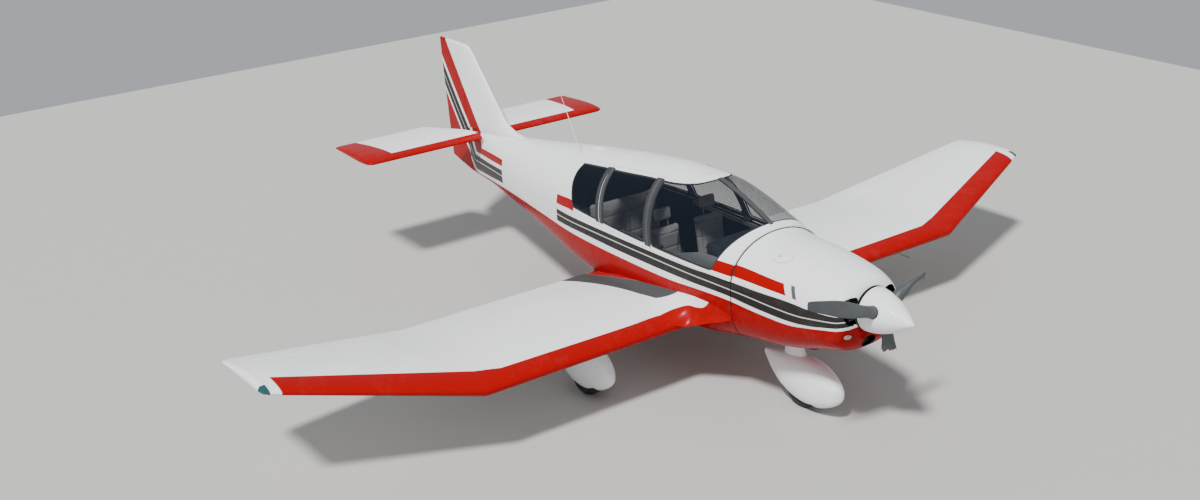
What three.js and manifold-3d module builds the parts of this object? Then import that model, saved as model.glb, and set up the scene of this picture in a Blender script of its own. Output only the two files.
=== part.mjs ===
// Light four-seat low-wing touring aircraft, parked on its gear
// Millimetres, +X forward, +Y to port, +Z up, origin on the ground under the middle of the box
import * as THREE from 'three';
import { mergeVertices } from 'three/addons/utils/BufferGeometryUtils.js';
import Module from 'manifold-3d';

const wasm = await Module();
wasm.setup();

// Gaps and walls
const GAP = 0.3;
const CLEAR = 6;
const PIN_R = 4;
const PIN_SIDES = 24;
const ARM = { thick: 8, high: 18, eye: 9, reach: 25 };
const TUBE_SIDES = 40;
const SKIN = 12;
const REAR_WALL = 12;
const TUB_WALL = 30;
const CANOPY_WALL = 14;
const GLASS = 6;
const RING_POINTS = 24;
const SLIVER = 0.1;

// Cabin and fuselage places along X
const TAIL_END = -3060;
const STERNPOST_X = -2925;
const BULKHEAD = -300;
const REAR_BOW_X = 180;
const FRONT_BOW_X = 945;
const BOW_LEAN = 0.37;
const CANOPY_FRONT = 1975;
const TUB_FRONT = 1980;
const FIREWALL = 10;
const COWL_BACK = TUB_FRONT + FIREWALL + 2 * GAP;
const COWL_FRONT = 3110;
const SILL_Z = 1196;
const CANOPY_FOOT_Z = SILL_Z + 22;
const WIDE_Z = 1130;

// Canopy rails on the sills, and where the canopy's shoes stand on them
const RAIL_Y = 496;
const RAIL_TOP = SILL_Z + 12;
const RAIL_START = 240;
const RAIL_END = 1960;
const SHOES = [330, 950];

// Propeller and engine
const THRUST_Z = 1182;
const SPINNER_BACK = 3138;
const SPINNER_TIP = 3570;
const SPINNER_R = 190;
const BLADE_X = 3262;
const BLADE_ROOT_R = 50;
const HUB_R = 78;

// Wheels
const MAIN_WHEEL = { x: 950, y: 1300, r: 190, width: 150 };
const NOSE_WHEEL = { x: 2350, y: 0, r: 190, width: 130 };
const AXLE_R = 14;
const CROWN_Z = 386;
const RAKE = THREE.MathUtils.degToRad(13);
const STEER_X = 2310;

// Fuselage stations, columns: x, top, bottom, half width, height of the widest place, top power, bottom power
const BODY = [
  [TAIL_END, 1331, 794, 37, 1080, 2.0, 2.2],
  [-2400, 1375, 770, 165, 1080, 2.0, 2.6],
  [-1600, 1478, 700, 318, 1095, 2.1, 3.0],
  [-1000, 1582, 642, 430, 1110, 2.1, 3.4],
  [-350, 1682, 565, 535, 1125, 2.05, 3.8],
  [250, 1760, 512, 580, 1130, 2.05, 4.0],
  [900, 1806, 492, 596, 1130, 2.05, 4.0],
  [1500, 1730, 515, 584, 1130, 2.05, 3.8],
  [1980, 1530, 590, 526, 1130, 2.1, 3.4],
  [2470, 1505, 655, 478, 1130, 2.15, 3.0],
  [2870, 1462, 762, 420, 1130, 2.2, 2.8],
  [3060, 1408, 850, 352, 1130, 2.2, 2.6],
  [3110, 1352, 902, 300, 1130, 2.2, 2.6],
];

// Canopy stations, columns: x, top, half width, top power
const CANOPY = [
  [50, 1736, 565, 2.05],
  [550, 1796, 591, 2.05],
  [1050, 1812, 596, 2.05],
  [1250, 1803, 593, 2.05],
  [1500, 1732, 584, 2.08],
  [1720, 1647, 570, 2.1],
  [1920, 1562, 553, 2.12],
  [1990, 1546, 545, 2.12],
];

// Wing sections, columns: y at nose, y at tail, nose x, nose z, tail x, tail z, thickness ratio
const WING = [
  [430, 430, 1562, 693, -130, 604, 0.130],
  [2710, 2540, 1562, 693, -130, 604, 0.130],
  [4290, 4290, 1025, 994, 181, 975, 0.115],
  [4345, 4345, 1000, 1004, 200, 985, 0.085],
  [4360, 4360, 950, 1003, 260, 986, 0.040],
];

// Tailplane sections, columns: y, nose x, tail x, thickness ratio
const TAILPLANE_Z = 1300;
const TAILPLANE = [
  [60, -2590, -3390, 0.10],
  [1440, -2590, -3390, 0.10],
  [1485, -2615, -3378, 0.08],
  [1500, -2660, -3350, 0.04],
];
const TAILPLANE_PIVOT_X = -2800;
const TAILPLANE_TUBE_R = 20;

// Fin and rudder sections, columns: z, nose x, tail x, thickness ratio
const VERTICAL_TAIL = [
  [790, -2300, -3395, 0.080],
  [860, -2300, -3430, 0.080],
  [1300, -1900, -3480, 0.072],
  [1432, -1930, -3492, 0.074],
  [1446, -2060, -3494, 0.077],
  [1490, -2206, -3499, 0.080],
  [1540, -2288, -3505, 0.080],
  [1600, -2350, -3512, 0.080],
  [2180, -2890, -3562, 0.085],
  [2225, -2945, -3566, 0.080],
  [2240, -2995, -3552, 0.045],
];

function solidOf(geometry) {
  const bare = geometry.clone();
  bare.deleteAttribute('normal');
  bare.deleteAttribute('uv');
  const merged = mergeVertices(bare, 1e-4);
  return new wasm.Manifold(new wasm.Mesh({
    numProp: 3,
    vertProperties: new Float32Array(merged.attributes.position.array),
    triVerts: new Uint32Array(merged.index.array),
  }));
}

function geometryOf(solid) {
  const raw = solid.getMesh();
  const geometry = new THREE.BufferGeometry();
  geometry.setAttribute('position', new THREE.BufferAttribute(raw.vertProperties, 3));
  geometry.setIndex(new THREE.BufferAttribute(raw.triVerts, 1));
  geometry.computeVertexNormals();
  return geometry;
}

function join(...solids) {
  return solids.reduce((sum, next) => sum.add(next));
}

function cut(solid, ...tools) {
  return tools.reduce((rest, tool) => rest.subtract(tool), solid);
}

function box(x0, x1, y0, y1, z0, z1) {
  const geometry = new THREE.BoxGeometry(x1 - x0, y1 - y0, z1 - z0);
  geometry.translate((x0 + x1) / 2, (y0 + y1) / 2, (z0 + z1) / 2);
  return solidOf(geometry);
}

// A round rod from a to b, with its own radius at each end
function rod(a, b, radiusA, radiusB = radiusA, sides = 16) {
  const from = new THREE.Vector3(...a);
  const to = new THREE.Vector3(...b);
  const along = to.clone().sub(from);
  const geometry = new THREE.CylinderGeometry(radiusB, radiusA, along.length(), sides);
  const turn = new THREE.Quaternion().setFromUnitVectors(new THREE.Vector3(0, 1, 0), along.normalize());
  geometry.applyQuaternion(turn);
  geometry.translate((from.x + to.x) / 2, (from.y + to.y) / 2, (from.z + to.z) / 2);
  return solidOf(geometry);
}

// A flat outline of [u, v] corners, swept between two places on the third axis
function prism(corners, low, high, axis) {
  const shape = new THREE.Shape(corners.map(([u, v]) => new THREE.Vector2(u, v)));
  const geometry = new THREE.ExtrudeGeometry(shape, { depth: high - low, bevelEnabled: false });
  geometry.translate(0, 0, low);
  const place = new THREE.Matrix4();
  if (axis === 'y') place.set(1, 0, 0, 0, 0, 0, 1, 0, 0, 1, 0, 0, 0, 0, 0, 1);
  if (axis === 'x') place.set(0, 0, 1, 0, 1, 0, 0, 0, 0, 1, 0, 0, 0, 0, 0, 1);
  geometry.applyMatrix4(place);
  if (axis === 'y') flip(geometry);
  return solidOf(geometry);
}

function flip(geometry) {
  const position = geometry.attributes.position;
  for (let i = 0; i < position.count; i += 3) {
    const a = new THREE.Vector3().fromBufferAttribute(position, i + 1);
    const b = new THREE.Vector3().fromBufferAttribute(position, i + 2);
    position.setXYZ(i + 1, b.x, b.y, b.z);
    position.setXYZ(i + 2, a.x, a.y, a.z);
  }
}

// A closed skin through rings of equal point count, with a fan over each end
function loft(rings) {
  const count = rings[0].length;
  const points = rings.flat().map((p) => new THREE.Vector3(...p));
  const faces = [];
  for (let r = 0; r < rings.length - 1; r += 1) {
    for (let i = 0; i < count; i += 1) {
      const a = r * count + i;
      const b = r * count + (i + 1) % count;
      faces.push(a, b, b + count, a, b + count, a + count);
    }
  }
  for (const [start, turned] of [[0, true], [(rings.length - 1) * count, false]]) {
    const centre = new THREE.Vector3();
    for (let i = 0; i < count; i += 1) centre.addScaledVector(points[start + i], 1 / count);
    const hub = points.push(centre) - 1;
    for (let i = 0; i < count; i += 1) {
      const next = start + (i + 1) % count;
      if (turned) faces.push(hub, next, start + i);
      else faces.push(hub, start + i, next);
    }
  }
  const geometry = new THREE.BufferGeometry();
  geometry.setAttribute('position', new THREE.Float32BufferAttribute(points.flatMap((p) => p.toArray()), 3));
  geometry.setIndex(faces);
  const solid = solidOf(geometry);
  if (solid.volume() > 0) return solid;
  geometry.setIndex(faces.map((_, i) => faces[i - (i % 3) + 2 - (i % 3)]));
  return solidOf(geometry);
}

// A smooth value between the rows of a table whose first column is the place
function rowAt(table, place) {
  const last = table.length - 2;
  let k = 0;
  while (k < last && place > table[k + 1][0]) k += 1;
  const slope = (i, column) => {
    const low = table[Math.max(i - 1, 0)];
    const high = table[Math.min(i + 1, table.length - 1)];
    return (high[column] - low[column]) / (high[0] - low[0]);
  };
  const width = table[k + 1][0] - table[k][0];
  const t = THREE.MathUtils.clamp((place - table[k][0]) / width, 0, 1);
  return table[k].map((value, column) => {
    if (column === 0) return place;
    const rise = table[k + 1][column] - value;
    const bend = (slope(k, column) * (1 - t) - slope(k + 1, column) * t) * width - rise * (1 - 2 * t);
    return value + rise * t + t * (1 - t) * bend;
  });
}

function power(value, exponent) {
  return Math.sign(value) * Math.abs(value) ** (2 / exponent);
}

function oval(x, half, top, wide, bottom, topPower, bottomPower) {
  return Array.from({ length: RING_POINTS }, (_, i) => {
    const angle = (i / RING_POINTS) * 2 * Math.PI;
    const up = Math.sin(angle) >= 0;
    const exponent = up ? topPower : bottomPower;
    const height = up ? top - wide : wide - bottom;
    return [x, half * power(Math.cos(angle), exponent), wide + height * power(Math.sin(angle), exponent)];
  });
}

// Each skin is lofted once for each inset, then cut to length, so neighbours share one surface
const skins = new Map();

function placesOf(table) {
  const rows = table.map((row) => row[0]);
  return rows.flatMap((x, i) => (i && x - rows[i - 1] > 420 ? [(x + rows[i - 1]) / 2, x] : [x]));
}

function wholeSkin(kind, inset, ringAt, table) {
  const key = `${kind}${inset}`;
  if (!skins.has(key)) skins.set(key, loft(placesOf(table).map(ringAt)));
  return skins.get(key);
}

function bodySkin(from, to, inset = 0) {
  const whole = wholeSkin('body', inset, (x) => {
    const [, top, bottom, half, wide, topPower, bottomPower] = rowAt(BODY, x);
    return oval(x, half - inset, top - inset, wide, bottom + inset, topPower, bottomPower);
  }, BODY);
  return whole.intersect(box(from, to, -800, 800, 300, 2000));
}

function canopySkin(from, to, inset = 0) {
  const foot = SILL_Z - 150;
  const whole = wholeSkin('canopy', inset, (x) => {
    const [, top, half, topPower] = rowAt(CANOPY, x);
    return oval(x, half - inset, top - inset, WIDE_Z, foot, topPower, 4);
  }, CANOPY);
  return whole.intersect(box(from, to, -800, 800, 300, 2000));
}

// A wing section: nose and tail points with a thickness, a little camber, and a y that may slant
function airfoil(nose, tail, ratio, camber, steps) {
  const [nx, ny, nz] = nose;
  const chord = Math.hypot(tail[0] - nx, tail[2] - nz);
  const point = (s, side) => {
    const curve = 0.2969 * Math.sqrt(s) - 0.126 * s - 0.3516 * s ** 2 + 0.2843 * s ** 3 - 0.1036 * s ** 4;
    const half = 5 * ratio * curve;
    const lift = camber * 4 * s * (1 - s) + side * (half + 0.0012 * s);
    return [nx + (tail[0] - nx) * s, ny + (tail[1] - ny) * s, nz + (tail[2] - nz) * s + lift * chord];
  };
  const spread = (i) => (1 - Math.cos((i / steps) * Math.PI)) / 2;
  const upper = Array.from({ length: steps + 1 }, (_, i) => point(1 - spread(i), 1));
  const lower = Array.from({ length: steps }, (_, i) => point(spread(i + 1), -1));
  return [...upper, ...lower];
}

function wingBlank() {
  return loft(WING.map(([noseY, tailY, noseX, noseZ, tailX, tailZ, ratio]) => (
    airfoil([noseX, noseY, noseZ], [tailX, tailY, tailZ], ratio, 0.02, 11))));
}

function tailplaneBlank() {
  return loft(TAILPLANE.map(([y, noseX, tailX, ratio]) => (
    airfoil([noseX, y, TAILPLANE_Z], [tailX, y, TAILPLANE_Z], ratio, 0, 9))));
}

function verticalBlank() {
  return loft(VERTICAL_TAIL.map(([z, noseX, tailX, ratio]) => (
    airfoil([noseX, 0, 0], [tailX, 0, 0], ratio, 0, 8).map(([x, , half]) => [x, half, z]))));
}

function mirrored(solid) {
  return solid.mirror([0, 1, 0]);
}

const along = (a, b, t) => a.map((value, i) => value + (b[i] - value) * t);

// Axes of a hinge line: ahead, along the line, and across both
function hingeAxes(a, b) {
  const line = new THREE.Vector3(...b).sub(new THREE.Vector3(...a));
  const unit = line.clone().normalize();
  const ahead = new THREE.Vector3(1, 0, 0);
  ahead.addScaledVector(unit, -ahead.dot(unit)).normalize();
  return { ahead, unit, third: new THREE.Vector3().crossVectors(ahead, unit), length: line.length() };
}

// The room a hinge arm sweeps inside the moving part, as seen along the hinge line
function armFan(reach, half, sweep) {
  const [low, high] = sweep.map(THREE.MathUtils.degToRad);
  const steps = 6;
  const corner = (angle, out, aside) => new THREE.Vector2(
    out * Math.cos(angle) - aside * Math.sin(angle), out * Math.sin(angle) + aside * Math.cos(angle));
  const arc = Array.from({ length: steps + 1 }, (_, i) => corner(low + ((high - low) * i) / steps, reach, 0));
  const start = [corner(low, 0, -half), corner(low, reach, -half)];
  return new THREE.Shape([...start, ...arc, corner(high, reach, half), corner(high, 0, half)]);
}

// Hinges of a control surface: arms of the fixed part, slots and pins of the moving part
function hinges(a, b, radiusA, radiusB, places, sweep) {
  const { ahead, unit, third } = hingeAxes(a, b);
  const side = ARM.thick / 2 + CLEAR;
  const half = ARM.high / 2 + CLEAR + 1;
  const set = { arms: [], slots: [], pins: [] };
  for (const t of places) {
    const radius = radiusA + (radiusB - radiusA) * t;
    const frame = new THREE.Matrix4().makeBasis(ahead, unit, third).setPosition(...along(a, b, t));
    const at = (x, y) => new THREE.Vector3(x, y, 0).applyMatrix4(frame).toArray();
    const reach = radius + CLEAR + ARM.reach;
    const plate = new THREE.BoxGeometry(reach, ARM.thick, ARM.high).translate(reach / 2, 0, 0);
    const eye = rod(at(0, -ARM.thick / 2), at(0, ARM.thick / 2), ARM.eye, ARM.eye, 10);
    const hole = rod(at(0, -ARM.thick), at(0, ARM.thick), PIN_R + GAP, PIN_R + GAP, PIN_SIDES);
    set.arms.push(cut(join(solidOf(plate.applyMatrix4(frame)), eye), hole));
    const fan = armFan(reach, half, sweep);
    const room = new THREE.ExtrudeGeometry(fan, { depth: 2 * side, bevelEnabled: false });
    room.rotateX(Math.PI / 2).translate(0, side, 0);
    const hub = rod(at(0, -side), at(0, side), half + 3, half + 3, 10);
    set.slots.push(join(solidOf(room.applyMatrix4(frame)), hub));
    set.pins.push(rod(at(0, -side - PIN_R), at(0, side + PIN_R), PIN_R, PIN_R, PIN_SIDES));
  }
  return set;
}

// A moving surface cut from a blank along a hinge line, with what the fixed part loses and gains there
function surfaceOf(blank, { a, b, radiusA, radiusB, places, sweep, behind, behindWide, endShare }) {
  const hingeSet = hinges(a, b, radiusA, radiusB, places, sweep);
  const nose = blank.intersect(rod(a, b, radiusA, radiusB, 12));
  const moving = join(cut(join(blank.intersect(behind), nose), ...hingeSet.slots), ...hingeSet.pins);
  const from = along(a, b, -endShare);
  const to = along(a, b, 1 + endShare);
  const cove = rod(from, to, radiusA + CLEAR, radiusB + CLEAR, 12);
  return { moving, away: [behindWide, cove], arms: hingeSet.arms };
}

const WHITE = { color: 0xf2f2ef, roughness: 0.35, metalness: 0 };
const RED = { color: 0xd80a14, roughness: 0.35, metalness: 0 };
const GREY = { color: 0x6f7376, roughness: 0.5, metalness: 0 };
const DARK = { color: 0x1f2226, roughness: 0.7, metalness: 0 };
const SEAT = { color: 0x8f9194, roughness: 0.9, metalness: 0 };
const TYRE = { color: 0x161616, roughness: 0.9, metalness: 0 };
const METAL = { color: 0xa7abae, roughness: 0.4, metalness: 0.8 };
const TINTED = { color: 0x4c5a66, roughness: 0.1, metalness: 0, transparent: true, opacity: 0.45 };
const LAMP = { color: 0x0d5a4c, roughness: 0.15, metalness: 0 };

const aircraft = new THREE.Group();
const SIDES = [['left', 1], ['right', -1]];

// Slivers that the cuts leave are merged away before a solid becomes a mesh
function add(name, solid, look, group = aircraft) {
  const clean = solid.asOriginal().simplify(SLIVER);
  const mesh = new THREE.Mesh(geometryOf(clean), new THREE.MeshStandardMaterial(look));
  mesh.name = name;
  group.add(mesh);
}

// The side outline of the glazed bays, columns: x, z
const bowX = (x, z) => x - BOW_LEAN * (z - SILL_Z);
const REAR_WINDOW_X = -318;
const BOW_HALF = 48;
const WINDOW_FOOT = CANOPY_FOOT_Z + 15;
const WINDOW_TOP = 1900;
const bowEdge = (x, z) => [bowX(x, z), z];
const REAR_BAY = [
  [REAR_WINDOW_X, WINDOW_FOOT], bowEdge(REAR_BOW_X - BOW_HALF, WINDOW_FOOT),
  bowEdge(REAR_BOW_X - BOW_HALF, WINDOW_TOP), [REAR_WINDOW_X - 305, WINDOW_TOP],
];
const MIDDLE_BAY = [
  bowEdge(REAR_BOW_X + BOW_HALF, WINDOW_FOOT), bowEdge(FRONT_BOW_X - BOW_HALF, WINDOW_FOOT),
  bowEdge(FRONT_BOW_X - BOW_HALF, WINDOW_TOP), bowEdge(REAR_BOW_X + BOW_HALF, WINDOW_TOP),
];
const WINDSCREEN_FOOT = [1768, WINDOW_FOOT];
const WINDSCREEN_HEAD = [1916, 1600];
const FRONT_BAY = [
  bowEdge(FRONT_BOW_X + BOW_HALF, WINDOW_FOOT), WINDSCREEN_FOOT, WINDSCREEN_HEAD,
  [1750, WINDOW_TOP], bowEdge(FRONT_BOW_X + BOW_HALF, WINDOW_TOP),
];
// The roof panel seen from above, columns: x, half width
const ROOF = [
  [-700, 270],
  [-440, 282],
  [30, 295],
  [410, 299],
  [760, 284],
  [890, 274],
  [1000, 254],
  [1100, 224],
  [1177, 179],
  [1223, 108],
  [1245, 22],
  [2100, 16],
];

function roofKeep(shrink = 0) {
  const right = ROOF.map(([x, half]) => [x, half - shrink]);
  const left = right.map(([x, half]) => [x, -half]).reverse();
  return prism([...right, ...left], SILL_Z, 2000, 'z');
}

function windowTool(bay, side, grow) {
  const middleX = bay.reduce((sum, [x]) => sum + x / bay.length, 0);
  const middleZ = bay.reduce((sum, [, z]) => sum + z / bay.length, 0);
  const outline = bay.map(([x, z]) => [x + Math.sign(x - middleX) * grow, z + Math.sign(z - middleZ) * grow]);
  const reach = prism(outline, side > 0 ? 0 : -900, side > 0 ? 900 : 0, 'y');
  return cut(reach, roofKeep(grow));
}

// The slanted joint between the rear fuselage and the glazed cabin
const CABIN_JOINT_FOOT = -350;
const CABIN_JOINT_HEAD = -735;
const CABIN_JOINT_TOP = 2000;

function aheadOfCabinJoint() {
  const outline = [[CABIN_JOINT_FOOT, SILL_Z], [600, SILL_Z], [600, CABIN_JOINT_TOP],
    [CABIN_JOINT_HEAD, CABIN_JOINT_TOP]];
  return prism(outline, -900, 900, 'y');
}

// A thin shell, open only where the rudder covers its end
function buildRearFuselage(rudder) {
  const reserve = aheadOfCabinJoint().translate([-REAR_WALL, 0, -REAR_WALL]);
  const inner = cut(bodySkin(TAIL_END, BULKHEAD - REAR_WALL, REAR_WALL), reserve);
  const postSpace = box(TAIL_END, STERNPOST_X, -200, 200, 930, 1010);
  const sternpost = bodySkin(TAIL_END, STERNPOST_X, 4).intersect(postSpace);
  const pivot = (y) => [TAILPLANE_PIVOT_X, y, TAILPLANE_Z];
  const bore = TAILPLANE_TUBE_R + GAP;
  const tube = rod(pivot(-400), pivot(400), bore, bore, TUBE_SIDES);
  const shell = join(cut(bodySkin(TAIL_END, BULKHEAD), inner), sternpost);
  const [lowArm] = rudder.arms;
  add('rear_fuselage', join(cut(shell, ...rudder.away, tube, aheadOfCabinJoint()), lowArm), WHITE);
}

function buildTub() {
  const outer = bodySkin(BULKHEAD + GAP, TUB_FRONT);
  const inner = bodySkin(BULKHEAD + GAP + TUB_WALL, TUB_FRONT + 10, TUB_WALL);
  const above = box(-900, 2100, -900, 900, SILL_Z, 2100);
  const shell = cut(outer, inner, above);
  const scuttleInset = CANOPY_WALL + CLEAR;
  const scuttle = cut(canopySkin(1700, TUB_FRONT, scuttleInset),
    canopySkin(1690, TUB_FRONT + 10, scuttleInset + 16));
  const scuttleFoot = SILL_Z - 35;
  const scuttleSide = [[1760, scuttleFoot], [TUB_FRONT, scuttleFoot], [TUB_FRONT, 1700], [1935, 1700],
    [1925, 1540]];
  const front = prism(scuttleSide, -900, 900, 'y');
  const railBar = box(RAIL_START, RAIL_END, RAIL_Y, RAIL_Y + 14, SILL_Z - 30, RAIL_TOP);
  const shelf = box(RAIL_START, RAIL_END, RAIL_Y, 640, SILL_Z - 14, SILL_Z - 1);
  const rail = join(railBar, shelf.intersect(bodySkin(BULKHEAD, TUB_FRONT, 6)));
  const rails = [rail, mirrored(rail)];
  add('cabin_tub', join(shell, scuttle.intersect(front), ...rails), RED);
}

function buildRearCabin() {
  const outer = bodySkin(-600, REAR_BOW_X + 10);
  const inner = bodySkin(-600 + 40, REAR_BOW_X + 20, CANOPY_WALL);
  const lean = (CABIN_JOINT_HEAD - CABIN_JOINT_FOOT) / (CABIN_JOINT_TOP - SILL_Z);
  const rearEdge = (z) => [CABIN_JOINT_FOOT + 2 * GAP + lean * (z - SILL_Z), z];
  const frontEdge = (z) => [bowX(REAR_BOW_X - CLEAR / 2, z), z];
  const foot = SILL_Z + GAP;
  const side = [rearEdge(foot), frontEdge(foot), frontEdge(WINDOW_TOP), rearEdge(WINDOW_TOP)];
  const keep = prism(side, -900, 900, 'y');
  let shell = cut(outer, inner).intersect(keep);
  const pane = cut(bodySkin(-600, REAR_BOW_X + 10), bodySkin(-620, REAR_BOW_X + 20, GLASS));
  for (const [word, way] of SIDES) {
    shell = cut(shell, windowTool(REAR_BAY, way, 0));
    add(`rear_window_${word}`, pane.intersect(windowTool(REAR_BAY, way, -GAP)), TINTED);
  }
  add('rear_cabin_shell', shell, WHITE);
}

function buildCanopy() {
  const rear = [bowX(REAR_BOW_X + CLEAR / 2, CANOPY_FOOT_Z), CANOPY_FOOT_Z];
  const rearHead = [bowX(REAR_BOW_X + CLEAR / 2, WINDOW_TOP), WINDOW_TOP];
  const side = [rear, [CANOPY_FRONT, CANOPY_FOOT_Z], [CANOPY_FRONT, WINDOW_TOP], rearHead];
  const keep = prism(side, -900, 900, 'y');
  const outer = canopySkin(0, CANOPY_FRONT + 10);
  const pane = cut(outer, canopySkin(-10, CANOPY_FRONT + 20, GLASS));
  let frame = cut(outer, canopySkin(-10, CANOPY_FRONT + 20, CANOPY_WALL)).intersect(keep);
  for (const [word, way] of SIDES) {
    frame = cut(frame, windowTool(MIDDLE_BAY, way, 0), windowTool(FRONT_BAY, way, 0));
    add(`canopy_window_${word}`, pane.intersect(windowTool(MIDDLE_BAY, way, -GAP)), TINTED);
    add(`windscreen_${word}`, pane.intersect(windowTool(FRONT_BAY, way, -GAP)), TINTED);
  }
  const inside = canopySkin(0, CANOPY_FRONT, 4);
  const shoes = SHOES.flatMap((x) => {
    const block = box(x, x + 90, RAIL_Y - 4, 640, RAIL_TOP + GAP, CANOPY_FOOT_Z + 12);
    const shoe = block.intersect(inside);
    return [shoe, mirrored(shoe)];
  });
  add('canopy_frame', join(frame, ...shoes), WHITE);
}

function buildCowl() {
  const outer = bodySkin(COWL_BACK, COWL_FRONT);
  const inner = bodySkin(COWL_BACK - 20, COWL_FRONT - SKIN, SKIN);
  const inlet = (y) => {
    const hole = new THREE.CylinderGeometry(1, 1, 200, 20).scale(90, 1, 52).rotateZ(Math.PI / 2);
    return solidOf(hole.rotateX(Math.PI / 2).translate(COWL_FRONT, y, 1300));
  };
  const shaft = rod([COWL_FRONT - 100, 0, THRUST_Z], [COWL_FRONT + 50, 0, THRUST_Z], 110);
  const chin = rod([COWL_FRONT - 100, -70, 945], [COWL_FRONT + 50, -70, 945], 42);
  const leg = rod(steerPoint(520), steerPoint(900), 52);
  const outlet = box(2000, 2140, -170, 170, 500, 700);
  const pipe = rod([2330, 130, 500], [2330, 130, 900], 34);
  const shell = cut(outer, inner, inlet(215), inlet(-215), shaft, chin, leg, outlet, pipe);
  const seam = 1120;
  add('cowl_upper', shell.intersect(box(1900, 3300, -700, 700, seam + GAP / 2, 1900)), WHITE);
  add('cowl_lower', shell.intersect(box(1900, 3300, -700, 700, 300, seam - GAP / 2)), RED);
  const plate = bodySkin(TUB_FRONT + GAP, TUB_FRONT + GAP + FIREWALL, 4);
  add('firewall', plate, METAL);
}

function buildEngine() {
  const back = TUB_FRONT + FIREWALL + 2 * GAP;
  const mount = box(back, 2260, -130, 130, 960, 1240);
  const block = box(2240, 2960, -235, 235, 1000, 1300);
  const crank = rod([2950, 0, THRUST_Z], [SPINNER_BACK - GAP, 0, THRUST_Z], 60);
  add('engine_block', join(mount, block, crank), METAL);
}

// Blade stations, columns: radius, chord, thickness, pitch in degrees
const BLADE = [
  [60, 100, 100, 60],
  [235, 100, 96, 55],
  [330, 124, 56, 44],
  [520, 140, 28, 32],
  [720, 128, 18, 24],
  [860, 104, 12, 20],
  [910, 74, 8, 18],
];
// Blades, columns: angle in degrees, reach as a radius
const BLADES = [[160, 910], [40, 470], [-80, 320]];

function bladeSolid(angle, reach) {
  const rows = BLADE.filter(([radius]) => radius < reach - 5).map((row) => row[0]);
  const rings = [...rows, reach].map((radius) => {
    const [, chord, thick, pitch] = rowAt(BLADE, radius);
    const twist = THREE.MathUtils.degToRad(pitch);
    return Array.from({ length: 16 }, (_, i) => {
      const u = (chord / 2) * Math.cos((i / 16) * 2 * Math.PI);
      const v = (thick / 2) * Math.sin((i / 16) * 2 * Math.PI);
      return [u * Math.sin(twist) - v * Math.cos(twist), radius, u * Math.cos(twist) + v * Math.sin(twist)];
    });
  });
  return loft(rings).rotate([angle, 0, 0]).translate([BLADE_X, 0, THRUST_Z]);
}

function buildPropeller() {
  const hub = rod([SPINNER_BACK + 8 + GAP, 0, THRUST_Z], [BLADE_X + 70, 0, THRUST_Z], HUB_R, HUB_R, 24);
  add('propeller', join(hub, ...BLADES.map(([angle, reach]) => bladeSolid(angle, reach))), GREY);
  const length = SPINNER_TIP - SPINNER_BACK;
  const ogive = Array.from({ length: 6 }, (_, i) => i / 6)
    .map((t) => [SPINNER_R * (1 - t ** 1.75) ** 0.92, length * t]);
  const turned = (points) => {
    const outline = points.map(([r, x]) => new THREE.Vector2(r, x));
    const lathe = new THREE.LatheGeometry(outline, 18).rotateZ(-Math.PI / 2);
    return solidOf(lathe.translate(SPINNER_BACK, 0, THRUST_Z));
  };
  const outer = turned([[0, 0], ...ogive, [0, length]]);
  const inner = turned([[0, 8], ...ogive.map(([r, x]) => [r - 5, Math.max(x, 8)]), [0, length - 30]]);
  const holes = BLADES.map(([angle]) => {
    const turn = THREE.MathUtils.degToRad(angle);
    const end = [BLADE_X, 300 * Math.cos(turn), THRUST_Z + 300 * Math.sin(turn)];
    return rod([BLADE_X, 0, THRUST_Z], end, BLADE_ROOT_R + 3, BLADE_ROOT_R + 3, 14);
  });
  add('spinner', cut(outer, inner, ...holes), WHITE);
}

// A streamlined spat around a wheel, columns: share of length, half width share, height share, lift share
const SPAT = [
  [0.00, 0.10, 0.12, 0.50],
  [0.03, 0.32, 0.34, 0.50],
  [0.12, 0.64, 0.66, 0.50],
  [0.28, 0.94, 0.95, 0.50],
  [0.45, 1.00, 1.00, 0.50],
  [0.66, 0.84, 0.86, 0.53],
  [0.86, 0.44, 0.50, 0.60],
  [1.00, 0.06, 0.12, 0.70],
];

function spatSkin(spat, inset) {
  const rings = SPAT.map(([share, wide, high, lift]) => {
    const x = spat.front - inset - share * (spat.front - spat.back - 2 * inset);
    const half = Math.max(wide * spat.half - inset, 2);
    const tall = Math.max((high * (spat.top - spat.bottom)) / 2 - inset, 2);
    const middle = spat.bottom + lift * (spat.top - spat.bottom);
    return Array.from({ length: 16 }, (_, i) => {
      const angle = (i / 16) * 2 * Math.PI;
      return [x, spat.y + half * power(Math.cos(angle), 2.3), middle + tall * power(Math.sin(angle), 2.3)];
    });
  });
  return loft(rings);
}

function spatShell(spat, wheel) {
  const mouth = box(wheel.x - 215, wheel.x + 215, wheel.y - 92, wheel.y + 92, -50, wheel.r);
  return cut(spatSkin(spat, 0), spatSkin(spat, SKIN), mouth);
}

function forkAndAxle(wheel) {
  const reach = wheel.width / 2 + CLEAR;
  const arms = [-1, 1].map((side) => {
    const inner = wheel.y + side * reach;
    const outer = inner + side * 10;
    const [low, high] = [Math.min(inner, outer), Math.max(inner, outer)];
    return join(box(wheel.x - 22, wheel.x + 22, low, high, wheel.r, CROWN_Z + 10),
      rod([wheel.x, low, wheel.r], [wheel.x, high, wheel.r], 26));
  });
  const wide = reach + 10;
  const crown = box(wheel.x - 28, wheel.x + 28, wheel.y - wide, wheel.y + wide, CROWN_Z, CROWN_Z + 18);
  const axle = rod([wheel.x, wheel.y - wide + 6, wheel.r], [wheel.x, wheel.y + wide - 6, wheel.r], AXLE_R);
  return join(...arms, crown, axle);
}

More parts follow.
